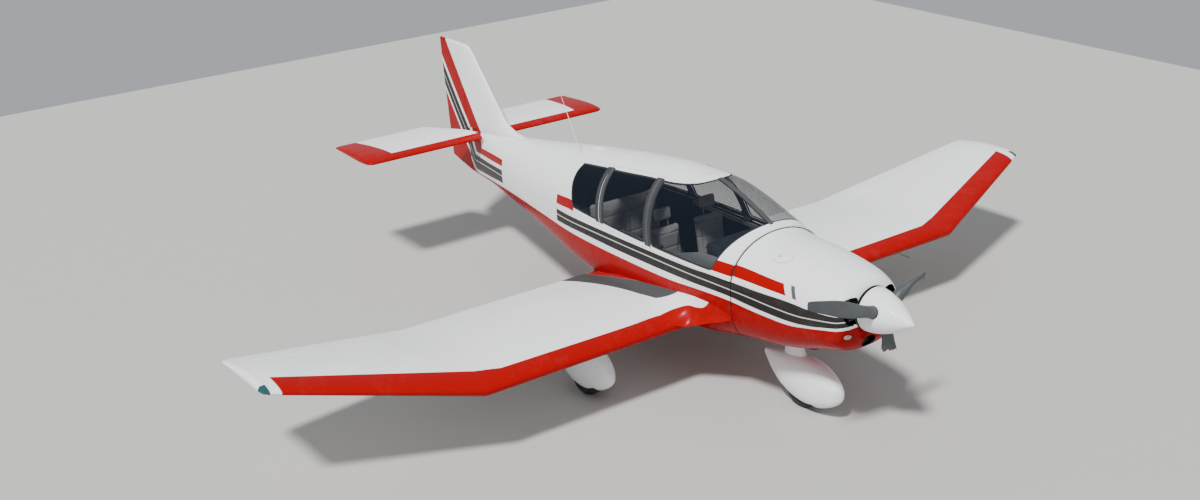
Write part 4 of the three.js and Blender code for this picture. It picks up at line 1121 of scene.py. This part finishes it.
def rectangle(low_u, high_u, low_v, high_v, radius):
    return rounded_corners([(low_u, low_v), (high_u, low_v), (high_u, high_v), (low_u, high_v)], radius)


def wheel_mouth(wheel):
    x, y, r, _ = WHEELS[wheel]
    return prism(rectangle(x - 0.215, x + 0.215, y - 0.092, y + 0.092, 0.05), -0.05, r, "z")


def screws(places, outward, radius=0.0045):
    """Small dark screw heads standing on a skin"""
    head = rod((0, 0, -0.003), (0, 0, 0.0012), radius, radius * 0.7, sides=10)
    return joined([head] + [turned_copy(head, place, normal) for place, normal in zip(places, outward)], True)


def spat_screws(spat, spots):
    places, normals = [], []
    for share, around in spots:
        here = Vector(spat_point(spat, share, around))
        along = Vector(spat_point(spat, share + 0.01, around)) - here
        across = Vector(spat_point(spat, share, around + 0.01)) - here
        normal = along.cross(across)
        if normal.dot(here - Vector((here.x, spat["y"], 0.27))) < 0:
            normal = -normal
        places.append(here)
        normals.append(normal)
    return screws(places, normals)


def fork(wheel):
    x, y, r, width = WHEELS[wheel]
    reach = width / 2 + 0.006
    parts = []
    for way in (-1, 1):
        inner, outer = sorted((y + way * reach, y + way * (reach + 0.010)))
        arm = rectangle(x - 0.022, x + 0.022, r - 0.026, FORK_CROWN + 0.010, 0.018)
        parts.append(prism(arm, inner, outer, "y"))
    wide = reach + 0.010
    crown = block((x - 0.028, y - wide, FORK_CROWN), (x + 0.028, y + wide, FORK_CROWN + 0.018))
    parts.append(soften(crown, 0.004))
    parts.append(rod((x, y - wide - 0.006, r), (x, y + wide + 0.006, r), 0.0135, sides=32))
    for way in (-1, 1):
        parts.append(rod((x, y + way * (wide + 0.002), r), (x, y + way * (wide + 0.012), r), 0.022, sides=6))
    return parts


def build_main_gear():
    spat = SPATS["main"]
    shell = wall(spat_skin(spat), 0.005)
    combine(shell, wheel_mouth("main_left"))

    def corner(u, v):
        angle, share = 2 * math.pi * v, 1 - 0.25 * u
        return (0.95 + 0.095 * math.cos(angle) * share, 1.3 + 0.058 * math.sin(angle) * share,
                0.455 + 0.075 * u)

    combine(shell, skin(12, 40, corner), "UNION")
    both_sides(shell, "main_spat", "airframe", "white_paint", WHITE_PAINT)
    heads = spat_screws(spat, [(s, a) for s in (0.30, 0.42, 0.56) for a in (0.06, 0.44)]
                        + [(0.14, 0.10), (0.14, 0.40)])
    leg = joined(fork("main_left") + [rod((0.95, 1.3, FORK_CROWN), (0.95, 1.3, 0.690), 0.034, sides=48)])
    both_sides(heads, "main_spat_screws", "airframe", "bare_metal", SCREW, "")
    both_sides(leg, "main_leg", "airframe", "bare_metal", STEEL, "_tube")


def build_nose_gear():
    spat = SPATS["nose"]
    shell = wall(spat_skin(spat), 0.005)
    combine(shell, wheel_mouth("nose"))
    rows = [(0.400, 0.150, 0.060), (0.440, 0.128, 0.050), (0.500, 0.112, 0.046), (0.600, 0.104, 0.044)]

    def corner(u, v):
        _, half, across = row_at(rows, 0.400 + 0.200 * u)
        x, _, z = steer_point(0.400 + 0.200 * u)
        angle = 2 * math.pi * v
        stretch = 1.0 if math.cos(angle) > 0 else 1.15
        return (x + half * stretch * math.cos(angle), across * math.sin(angle), z)

    combine(shell, skin(14, 56, corner), "UNION")
    combine(shell, rod(steer_point(0.56), steer_point(0.64), 0.036, sides=40))
    finished(shell, "nose_spat_skin", "nose_gear", "white_paint", SPAT_PAINT, ["nose_spat"])
    heads = spat_screws(spat, [(0.235, a / 12) for a in (0.6, 1.8, 3.0, 4.2, 5.4)]
                        + [(s, 0.05) for s in (0.38, 0.52)])
    finished(heads, "nose_spat_screws", "nose_gear", "bare_metal", SCREW)
    tube = rod(steer_point(FORK_CROWN), steer_point(0.760), 0.030, sides=48)
    collar = rod(steer_point(0.600), steer_point(0.622), 0.040, sides=48)
    finished(joined(fork("nose") + [tube, collar]), "nose_fork_tube", "nose_gear", "bare_metal", STEEL,
             ["nose_fork"])


def turned(profile, centre, axis, steps=64):
    """A closed profile of (radius, along) corners spun round an axis"""
    piece = primitive(bpy.ops.mesh.primitive_circle_add, vertices=len(profile))
    way = Vector(axis)
    aside = Vector((0, 0, 1)) if abs(way.z) < 0.9 else Vector((1, 0, 0))
    for corner, (radius, along) in zip(piece.data.vertices, profile):
        corner.co = Vector(centre) + aside * radius + way * along

    def turn():
        bpy.ops.mesh.spin(steps=steps, angle=2 * math.pi, center=centre, axis=axis)

    return in_edit_mode(piece, turn, merge_doubles, face_outwards)


def build_wheel(wheel):
    x, y, r, width = WHEELS[wheel]
    rim_r, half, bolt_r = 0.082, width / 2, 0.044
    middle = (r + rim_r) / 2 + 0.006
    tread = []
    for i in range(25):
        angle = -math.pi / 2 - 0.25 + (i / 24) * (math.pi + 0.5)
        radius = middle + (r - middle) * power(math.cos(angle), 2.6)
        along = half * power(math.sin(angle), 2.6)
        if abs(along) < half * 0.72 and radius > r - 0.012 and i % 3 == 0:
            radius -= 0.005
        tread.append((radius, along))
    bead = half * 0.62
    tyre = turned([(rim_r + 0.0003, -bead), (rim_r + 0.013, -bead - 0.007)] + tread
                  + [(rim_r + 0.013, bead + 0.007), (rim_r + 0.0003, bead)], (x, y, r), (0, 1, 0), 72)
    body = wheel + "_wheel" if wheel == "nose" else wheel.replace("main_", "main_wheel_")
    finished(tyre, f"{wheel}_tyre_tread", body, "tyre", TYRE, [f"{wheel}_tyre"])
    dish = [(0.0143, -0.058), (0.030, -0.060), (0.034, -0.050), (0.056, -0.044), (0.070, -0.046),
            (rim_r + 0.010, -bead - 0.006), (rim_r + 0.011, -bead - 0.001), (rim_r, -bead + 0.002)]
    rim = turned(dish + [(radius, -along) for radius, along in reversed(dish)], (x, y, r), (0, 1, 0), 64)
    parts = [rim]
    for way in (-1, 1):
        for i in range(6):
            angle = 2 * math.pi * i / 6
            cx, cz = x + bolt_r * math.cos(angle), r + bolt_r * math.sin(angle)
            parts.append(rod((cx, y + way * 0.044, cz), (cx, y + way * 0.0535, cz), 0.006, sides=6))
    finished(joined(parts), f"{wheel}_rim_metal", body, "bare_metal", RIM, [f"{wheel}_rim"])


# Propeller and spinner
# radius, chord, thickness, pitch in degrees
BLADE = [(0.060, 0.100, 0.100, 60), (0.235, 0.100, 0.096, 55), (0.330, 0.124, 0.056, 44),
         (0.520, 0.140, 0.028, 32), (0.720, 0.108, 0.018, 24), (0.860, 0.080, 0.012, 20),
         (0.910, 0.060, 0.008, 18)]
BLADE_X = 3.262
BLADE_ANGLES = (160, 40, -80)
SPINNER_AXIS = (1, 0, 0)
SPINNER_BACK, SPINNER_TIP, SPINNER_R = 3.138, 3.570, 0.190


def blade(angle, reach, broken, bend=0.0):
    turn = Matrix.Translation((BLADE_X, 0, THRUST_Z)) @ Matrix.Rotation(math.radians(angle), 4, "X")
    start = BLADE[0][0]

    def corner(u, v):
        radius = start + (reach - start) * u
        _, chord, thick, pitch = row_at(BLADE, radius)
        angle_round = v * 2 * math.pi
        if broken and u > 0.9:
            coarse = noise.noise(Vector((v * 9.0 + angle, 2.7, 0)))
            fine = noise.noise(Vector((v * 31.0, angle, 0)))
            radius += (u - 0.9) / 0.1 * (coarse * 0.5 + fine * 0.5) * 0.060
        wide = chord / 2 * math.cos(angle_round)
        deep = thick / 2 * math.sin(angle_round)
        twist = math.radians(pitch)
        swing = Matrix.Rotation(math.radians(bend) * max(0.0, (radius - 0.2) / (reach - 0.2)), 4, "X")
        return turn @ swing @ Vector((wide * math.sin(twist) - deep * math.cos(twist), radius,
                                      wide * math.cos(twist) + deep * math.sin(twist)))

    piece = skin(34, 48, corner)
    for face in piece.data.polygons:
        out = (turn.inverted() @ face.center).yz.length
        torn = out > reach - 0.016 + 0.02 * noise.noise(face.center * 60)
        face.material_index = 1 if broken and torn else 0
    return piece


def build_propeller():
    whole, bent, stub = BLADE_ANGLES
    parts = [blade(whole, 0.910, False), blade(bent, 0.470, True, -14), blade(stub, 0.320, True)]
    hub = turned([(0.0, 0.009), (0.074, 0.009), (0.078, 0.014), (0.078, 0.186), (0.072, 0.194), (0.0, 0.194)],
                 (SPINNER_BACK, 0, THRUST_Z), SPINNER_AXIS, 48)
    for part in parts + [hub]:
        part.data.materials.clear()
        part.data.materials.append(BLADE_GREY)
        part.data.materials.append(SPLINTER)
    piece = joined(parts + [hub])
    finished(piece, "propeller_blades", "propeller", "blade_grey", None, ["propeller"])


def build_spinner():
    length = SPINNER_TIP - SPINNER_BACK
    ogive = [(SPINNER_R * (1 - t ** 1.75) ** 0.92, length * t) for t in [i / 40 for i in range(40)]]
    outer = [(SPINNER_R - 0.003, -0.0005)] + ogive + [(0.0, length)]
    inner = [(0.0, length - 0.02)] + [(max(r - 0.004, 0.0), max(x, 0.006)) for r, x in reversed(ogive)]
    piece = turned(outer + inner + [(SPINNER_R - 0.004, 0.0)], (SPINNER_BACK, 0, THRUST_Z), SPINNER_AXIS, 96)
    plate = turned([(0.0, 0.001), (0.1835, 0.001), (0.1835, 0.006), (0.0, 0.006)],
                   (SPINNER_BACK, 0, THRUST_Z), SPINNER_AXIS, 64)
    for angle in BLADE_ANGLES:
        turn = math.radians(angle)
        end = (BLADE_X, 0.3 * math.cos(turn), THRUST_Z + 0.3 * math.sin(turn))
        combine(piece, rod((BLADE_X, 0, THRUST_Z), end, 0.055, sides=40))
    finished(piece, "spinner_shell", "propeller", "white_paint", WHITE_PAINT, ["spinner"])
    finished(plate, "spinner_backplate", "propeller", "bare_metal", STEEL)
    places, normals = [], []
    for i in range(18):
        across, up = math.cos(2 * math.pi * i / 18), math.sin(2 * math.pi * i / 18)
        places.append((SPINNER_BACK + 0.018, 0.1892 * across, THRUST_Z + 0.1892 * up))
        normals.append(Vector((0.05, across, up)))
    finished(screws(places, normals, 0.0035), "spinner_screws", "propeller", "bare_metal", SCREW)


def build_small_parts():
    whip = joined([rod((-0.650, -0.183, 1.630), (-0.940, -0.183, 2.130), 0.0040, 0.0022, sides=12),
                   rod((-0.640, -0.183, 1.590), (-0.652, -0.183, 1.640), 0.014, 0.006, sides=24),
                   rod((-0.6395, -0.183, 1.588), (-0.6410, -0.183, 1.612), 0.024, 0.020, sides=24)])
    finished(whip, "antenna_whip", "airframe", "white_paint", WHIP, ["antenna"])
    mast = prism(rounded_corners([(1.180, 0.480), (1.232, 0.484), (1.225, 0.700), (1.180, 0.700)], 0.012),
                 2.2965, 2.3035, "y")
    tip = rod((1.185, 2.3, 0.492), (1.420, 2.3, 0.492), 0.0078, 0.0062, sides=24)
    combine(mast, copy_of(bpy.data.objects["wing_left_skin"]))
    finished(joined([soften(mast, 0.0015), tip]), "pitot_probe", "airframe", "bare_metal", STEEL,
             ["pitot_tube"])

    def corner(u, v):
        angle, radius = 2 * math.pi * v, 0.043 - 0.013 * min(1, u * 1.6)
        return (EXHAUST[0] + radius * math.cos(angle), EXHAUST[1] + radius * math.sin(angle),
                0.502 + 0.35 * u)

    pipe = wall(skin(10, 40, corner, ends=False), 0.003)
    finished(pipe, "exhaust_pipe", "airframe", "bare_metal", BURNT, ["exhaust"])


# Cabin furniture
def lean(piece, x, z, degrees):
    """Turns a piece about a line across the cabin"""
    turn = Matrix.Rotation(math.radians(degrees), 4, "Y")
    piece.data.transform(Matrix.Translation((x, 0, z)) @ turn @ Matrix.Translation((-x, 0, -z)))
    return piece


def stuffed(low, high, voxel=0.011, most=0.024):
    """A block rounded off, filled like a cushion, and let settle"""
    pad = soften(block(low, high), 0.030, 3)
    apply_modifier(pad, "REMESH", mode="VOXEL", voxel_size=voxel)
    rest = [corner.co.copy() for corner in pad.data.vertices]
    filling = pad.modifiers.new("filling", "CLOTH")
    filling.settings.use_pressure = True
    filling.settings.uniform_pressure_force = 4.0
    filling.settings.effector_weights.gravity = 0.0
    for count in range(1, 21):
        bpy.context.scene.frame_set(count)
    swollen = pad.evaluated_get(bpy.context.evaluated_depsgraph_get())
    settled = [corner.co.copy() for corner in swollen.data.vertices]
    pad.modifiers.remove(filling)
    for corner, here, there in zip(pad.data.vertices, rest, settled):
        step = there - here
        corner.co = here + step * min(1.0, most / max(step.length, 1e-9))
    bpy.context.scene.frame_set(1)
    return apply_modifier(pad, "SUBSURF", levels=1, render_levels=1)


def press_channel(pad, axis, place, depth=0.009, width=0.008):
    """Draws a sewn channel across a pad"""
    inwards = [corner.normal * -depth for corner in pad.data.vertices]
    for corner, step in zip(pad.data.vertices, inwards):
        if abs(corner.co[axis] - place) < width * 3:
            corner.co = corner.co + step * math.exp(-((corner.co[axis] - place) / width) ** 2)
    return pad


def upholstered(pads, name, nodes):
    piece = finished(joined(pads), name, "airframe", "seat_fabric", SEAT_CLOTH, nodes, 60)
    return piece


def build_front_seats():
    seat = stuffed((0.862, 0.069, 0.722), (1.282, 0.455, 0.782))
    for place in (0.142, 0.382):
        press_channel(seat, 1, place)
    press_channel(seat, 0, 1.185)
    back = stuffed((0.802, 0.079, 0.800), (0.862, 0.445, 1.305))
    for place in (0.145, 0.379):
        press_channel(back, 1, place)
    for place in (0.93, 1.09, 1.22):
        press_channel(back, 2, place, 0.006)
    rest = stuffed((0.812, 0.170, 1.345), (0.862, 0.354, 1.462), most=0.014)
    pads = joined([seat, lean(back, 0.86, 0.79, -10), lean(rest, 0.86, 0.79, -10)])
    stand = soften(block((0.86, 0.105, 0.515), (1.24, 0.419, 0.700)), 0.012)
    posts = [lean(rod((0.837, y, 1.29), (0.837, y, 1.37), 0.006, sides=12), 0.86, 0.79, -10)
             for y in (0.21, 0.314)]
    runners = [block((0.84, y - 0.012, 0.515), (1.30, y + 0.012, 0.540)) for y in (0.125, 0.399)]
    seat_frame = joined([stand] + posts + [soften(each, 0.002) for each in runners])
    sides = (("left", pads, seat_frame), ("right", mirrored(pads), mirrored(seat_frame)))
    for side, side_pads, side_frame in sides:
        upholstered([side_pads], f"front_seat_{side}_pads", [f"front_seat_{side}"])
        finished(side_frame, f"front_seat_{side}_frame", "airframe", "dark_trim", CABIN_GREY)


def build_rear_bench():
    seat = stuffed((-0.100, -0.415, 0.640), (0.275, 0.415, 0.742), 0.014)
    back = stuffed((-0.192, -0.415, 0.765), (-0.130, 0.415, 1.265), 0.014)
    for pad in (seat, back):
        for place in (-0.375, -0.030, 0.030, 0.375):
            press_channel(pad, 1, place, 0.008, 0.009)
    for place in (0.90, 1.10):
        press_channel(back, 2, place, 0.006)
    upholstered([seat, lean(back, -0.12, 0.76, -8)], "rear_bench_pads", ["rear_bench"])
    stand = soften(block((-0.10, -0.30, 0.520), (0.24, 0.30, 0.635)), 0.010)
    finished(stand, "rear_bench_stand", "airframe", "dark_trim", CABIN_GREY)


def face_point(y, up):
    """A place on the instrument panel's face, up from its foot"""
    foot, head = Vector((1.6385, 0, 1.020)), Vector((1.6010, 0, 1.375))
    place = foot + (head - foot) * up
    return Vector((place.x, y, place.z))


def model_dial(radius):
    """A bezel with its sunk face, marks and needle, upright at the origin"""
    bezel = [(radius - 0.005, 0.001), (radius - 0.005, 0.005), (radius - 0.002, 0.008),
             (radius + 0.003, 0.006), (radius + 0.004, -0.004), (radius - 0.002, -0.004)]
    ring = turned(bezel, (0, 0, 0), (0, 0, 1), 32)
    face = rod((0, 0, -0.002), (0, 0, 0.0025), radius - 0.003, sides=32)
    mark = rod((radius * 0.70, 0, 0.003), (radius * 0.86, 0, 0.003), 0.0011, 0.0008, sides=6)
    needle = rod((0, 0, 0.003), (0, radius * 0.62, 0.003), 0.0014, 0.0006, sides=6)
    marks = [needle]
    for i in range(12):
        tick = copy_of(mark)
        tick.data.transform(Matrix.Rotation(math.radians(30 * i), 4, "Z"))
        marks.append(tick)
    drop(mark)
    return ring, face, joined(marks)


def build_panel():
    outline = [(1.640, 1.010), (1.700, 0.990), (1.700, 0.905), (1.788, 0.905), (1.788, 1.190), (1.758, 1.396),
               (1.700, 1.416), (1.612, 1.414), (1.602, 1.390)]
    slab = prism(outline, -0.468, 0.468, "y")
    combine(slab, body_tube(1.45, 1.97, 18, inset=0.036, ends=True), "INTERSECT")
    soften(slab, 0.006)
    column = soften(block((1.565, -0.068, 0.560), (1.695, 0.068, 1.000)), 0.008)

    def corner(u, v):
        fall = 0.75 * (v - 0.5) ** 4
        return (1.565 + 0.22 * u, (v - 0.5) * 0.90, 1.404 + 0.030 * math.sin(math.pi * u) - fall)

    hood = wall(skin(10, 40, corner, ends=False), 0.006)
    finished(joined([slab, column, hood]), "panel_board", "airframe", "dark_trim", CABIN_DARK,
             ["instrument_panel"])
    rings, faces, marks = [], [], []
    spots = [(0.262 + across, up, 0.040) for across in (-0.100, 0.0, 0.100) for up in (0.44, 0.76)]
    spots += [(y, up, 0.028) for y in (-0.10, 0.09) for up in (0.42, 0.62, 0.82)]
    spots += [(-0.36, 0.76, 0.040), (-0.36, 0.44, 0.040)]
    models = {radius: model_dial(radius) for radius in (0.040, 0.028)}
    for y, up, radius in spots:
        for kept, model in zip((rings, faces, marks), models[radius]):
            kept.append(turned_copy(model, face_point(y, up), (-0.9945, 0, -0.105)))
    for model in models.values():
        drop(*model)
    knob = rod((0, 0, 0), (0, 0, 0.015), 0.007, 0.006, sides=16)
    stack = []
    for up in (0.30, 0.46, 0.62, 0.78):
        low, high = face_point(-0.285, up), face_point(-0.145, up + 0.13)
        unit = soften(block((low.x - 0.012, low.y, low.z), (low.x + 0.004, high.y, high.z)), 0.002)
        stack.append(unit)
        faces.append(block((low.x - 0.0128, low.y + 0.012, low.z + 0.012),
                           (low.x - 0.0115, high.y - 0.045, high.z - 0.012)))
        for y in (high.y - 0.030, high.y - 0.012):
            rings.append(turned_copy(knob, (low.x - 0.011, y, low.z + 0.023), (-1, 0, 0)))
    drop(knob)
    finished(joined(rings + stack), "panel_bezels", "airframe", "dark_trim", CABIN_GREY)
    finished(joined(faces), "panel_dial_faces", "airframe", "dark_trim", DIAL_FACE)
    finished(joined(marks), "panel_dial_marks", "airframe", "dark_trim", DIAL_MARK)


def build_sticks():
    grip = [(0.0, 0.0), (0.012, 0.001), (0.0165, 0.020), (0.0145, 0.045), (0.0165, 0.070), (0.0155, 0.095),
            (0.008, 0.106), (0.0, 0.107)]
    boot = [(0.0135, 0.0), (0.036, 0.002), (0.040, -0.010), (0.028, -0.020), (0.0135, -0.020)]
    parts = []
    for y in (0.262, -0.262):
        parts.append(rod((1.330, y, 0.600), (1.390, y, 0.860), 0.0105, sides=20))
        parts.append(turned(grip, (1.385, y, 0.842), (0.0635, 0, 0.998), 24))
        parts.append(turned(boot, (1.3335, y, 0.640), (0.225, 0, 0.974), 24))
    parts.append(rod((1.330, -0.262, 0.600), (1.330, 0.262, 0.600), 0.0135, sides=20))
    parts.append(soften(block((1.313, -0.058, 0.505), (1.347, 0.058, 0.598)), 0.004))
    finished(joined(parts), "stick_pair", "airframe", "dark_trim", SEAL_AND_GAP_SHADE, ["control_sticks"])


def build_engine():
    case = soften(block((2.245, -0.110, 1.020), (2.955, 0.110, 1.285)), 0.025, 3)
    parts = [case, soften(block((2.300, -0.095, 1.003), (2.880, 0.095, 1.030)), 0.008)]
    profile = [(0.0, 0.0), (0.062, 0.0)]
    for i in range(9):
        along = 0.006 + i * 0.011
        profile += [(0.062, along), (0.084, along), (0.084, along + 0.003), (0.062, along + 0.003)]
    profile += [(0.070, 0.112), (0.066, 0.126), (0.0, 0.128)]
    jug = turned(profile, (0, 0, 0), (0, 1, 0), 32)
    for x in (2.420, 2.640, 2.860):
        barrel = copy_of(jug)
        barrel.data.transform(Matrix.Translation((x, 0.105, 1.150)))
        parts += [barrel, mirrored(barrel)]
    drop(jug)
    for y in (0.10, -0.10):
        for z in (0.985, 1.215):
            parts.append(rod((1.993, y * 1.2, z), (2.262, y * 0.8, 1.10 + (z - 1.10) * 0.7), 0.012, sides=16))
    parts.append(rod((2.950, 0, THRUST_Z), (SPINNER_BACK - 0.0005, 0, THRUST_Z), 0.058, 0.050, sides=40))
    finished(joined(parts), "engine_unit", "airframe", "engine_metal", ENGINE, ["engine_block"])


def dress_nodes():
    """The solids whose shape is shown as it is get their finish"""
    for name, finish in (("firewall", FIREWALL), ("nose_leg_mount", STEEL)):
        for each in bpy.data.objects[name].material_slots:
            each.material = finish


def build_cowl_details():
    patch(body_tube, (2.15, 2.50), ellipse(2.350, -0.268, 0.092, 0.055, tilt=14), "z", 1.3, 1.6, 0.0006,
          "oil_door_gap", "airframe", "dark_trim", DOOR_LINE)
    patch(body_tube, (2.15, 2.50), ellipse(2.350, -0.268, 0.089, 0.052, tilt=14), "z", 1.3, 1.6, 0.0016,
          "oil_door", "airframe", "white_paint", WHITE_PAINT)
    patch(body_tube, (2.25, 2.40), ellipse(2.317, -0.266, 0.008, 0.008, 16), "z", 1.3, 1.6, 0.0028,
          "oil_door_button", "airframe", "dark_trim", SCREW, 8)
    vent = [(2.598, 1.324), (2.636, 1.326), (2.694, 1.234), (2.653, 1.236)]
    patch(body_tube, (2.50, 2.75), shrunk(vent, -0.022), "y", -0.6, -0.2, 0.0008, "cowl_vent_surround",
          "airframe", "white_paint", WHITE_PAINT)
    patch(body_tube, (2.50, 2.75), vent, "y", -0.6, -0.2, 0.0014, "cowl_vent", "airframe", "dark_trim",
          VENT_GREY)
    # A dark ring on the cowl's front face: painted shade standing for the shadow in the gap between spinner
    # and cowl
    ring = turned([(0.112, 0.0), (0.193, 0.0), (0.193, 0.004), (0.112, 0.004)], (3.1122, 0, THRUST_Z),
                  SPINNER_AXIS, 72)
    finished(ring, "spinner_gap_ring", "airframe", "dark_trim", SEAL_AND_GAP_SHADE)
    lens = turned([(0.0, 0.006), (0.018, 0.005), (0.032, 0.002), (0.040, -0.006), (0.0, -0.006)], (0, 0, 0),
                  (0, 0, 1), 40)
    lens.data.transform(Matrix.Diagonal((0.90, 0.55, 1.0, 1.0)))
    finished(joined([lens, turned_copy(lens, (3.106, -0.259, 0.992), (0.88, -0.42, -0.22))], True),
             "cowl_lamp", "airframe", "lamp_glass", CLEAR_LAMP)
    canopy_spots = [(0.404, 1.207), (0.973, 1.209), (1.484, 1.209)]
    hull_spots = [(-0.16, 1.209), (2.142, 1.200), (2.46, 1.155), (2.72, 1.155), (2.96, 1.15)]
    for spots, name, rider, radius in ((canopy_spots, "canopy_screws", "canopy", 0.0045),
                                       (hull_spots, "hull_screws", "airframe", 0.006)):
        places, normals = [], []
        for way in (-1, 1):
            for x, z in spots:
                _, top, _, half, wide, top_power, _ = row_at(BODY, x)
                share = (1 - ((z - wide) / (top - wide)) ** top_power) ** (1 / top_power)
                places.append((x, way * half * share, z))
                normals.append((0, way, 0.15))
        finished(screws(places, normals, radius), name, rider, "bare_metal", SCREW)


def build_roof_details():
    patch(canopy_tube, (0.60, 0.88), ellipse(0.737, -0.024, 0.062, 0.034), "z", 1.7, 1.9, 0.006,
          "roof_blister", "canopy", "white_paint", WHITE_PAINT, 16)

    def corner(u, v):
        swell, run, angle = math.sin(math.pi * u), 0.105 * math.cos(math.pi * u), 2 * math.pi * v
        return (-0.580 + run, -0.010 + 0.050 * swell * math.cos(angle),
                1.648 + 0.032 * swell * math.sin(angle) - 0.13 * (0.105 - run))

    finished(skin(14, 24, corner), "tail_cone_blister", "airframe", "white_paint", WHITE_PAINT)
    heads, aims = [], []
    for x, y in ((0.030, 0.268), (0.075, 0.262), (0.052, 0.282), (1.046, 0.020), (1.085, 0.030),
                 (1.125, 0.036)):
        for way in (-1, 1):
            _, top, half, top_power = row_at(CANOPY, x)
            rise = (1 - (y / half) ** top_power) ** (1 / top_power)
            z = CANOPY_WIDEST + (top - CANOPY_WIDEST) * rise
            heads.append((x, way * y, z))
            aims.append((0, way * 0.4, 1))
    finished(screws(heads, aims, 0.006), "roof_bracket_screws", "canopy", "bare_metal", SCREW)
    shoes = []
    for x in (0.330, 0.950):
        for way in (-1, 1):
            low, high = sorted((way * 0.4925, way * 0.560))
            shoes.append(soften(block((x, low, SILL + 0.0135), (x + 0.09, high, SILL + 0.034)), 0.003))
    finished(joined(shoes), "canopy_shoes", "canopy", "dark_trim", SEAL_AND_GAP_SHADE)


build_rear_fuselage()
build_tub()
build_glazing()
build_rear_cabin()
build_canopy()
build_bows()
build_cowl()
build_wings()
build_root_fairing()
build_fin_and_rudder()
build_tailplane()
build_main_gear()
build_nose_gear()
for wheel in WHEELS:
    build_wheel(wheel)
build_propeller()
build_spinner()
build_small_parts()
build_front_seats()
build_rear_bench()
build_panel()
build_sticks()
build_engine()
build_cowl_details()
build_roof_details()
dress_nodes()

floor = block((-12, -12, -0.05), (12, 12, 0.0))
floor.name = "floor"
floor_finish = Finish("floor_finish")
floor.data.materials.append(floor_finish.set(Base_Color=(0.50, 0.49, 0.47), Roughness=0.85))


def add_light(name, kind, place, aim, energy, size):
    data = bpy.data.lights.new(name, kind)
    data.energy = energy
    if kind == "SUN":
        data.angle = size
    else:
        data.size = size
    lamp = bpy.data.objects.new(name, data)
    aimed = (Vector(aim) - Vector(place)).to_track_quat("-Z", "Y").to_matrix().to_4x4()
    lamp.matrix_world = Matrix.Translation(place) @ aimed
    bpy.context.scene.collection.objects.link(lamp)


add_light("key_light", "SUN", (4, -7, 12), (0, 0, 0.5), 4.8, 0.12)
add_light("fill_light", "AREA", (8, -12, 6), (0, 0, 1), 150, 8)
world = bpy.data.worlds.new("studio")
world.use_nodes = True
world.node_tree.nodes["Background"].inputs[0].default_value = (0.86, 0.90, 0.95, 1)
world.node_tree.nodes["Background"].inputs[1].default_value = 0.5
bpy.context.scene.world = world
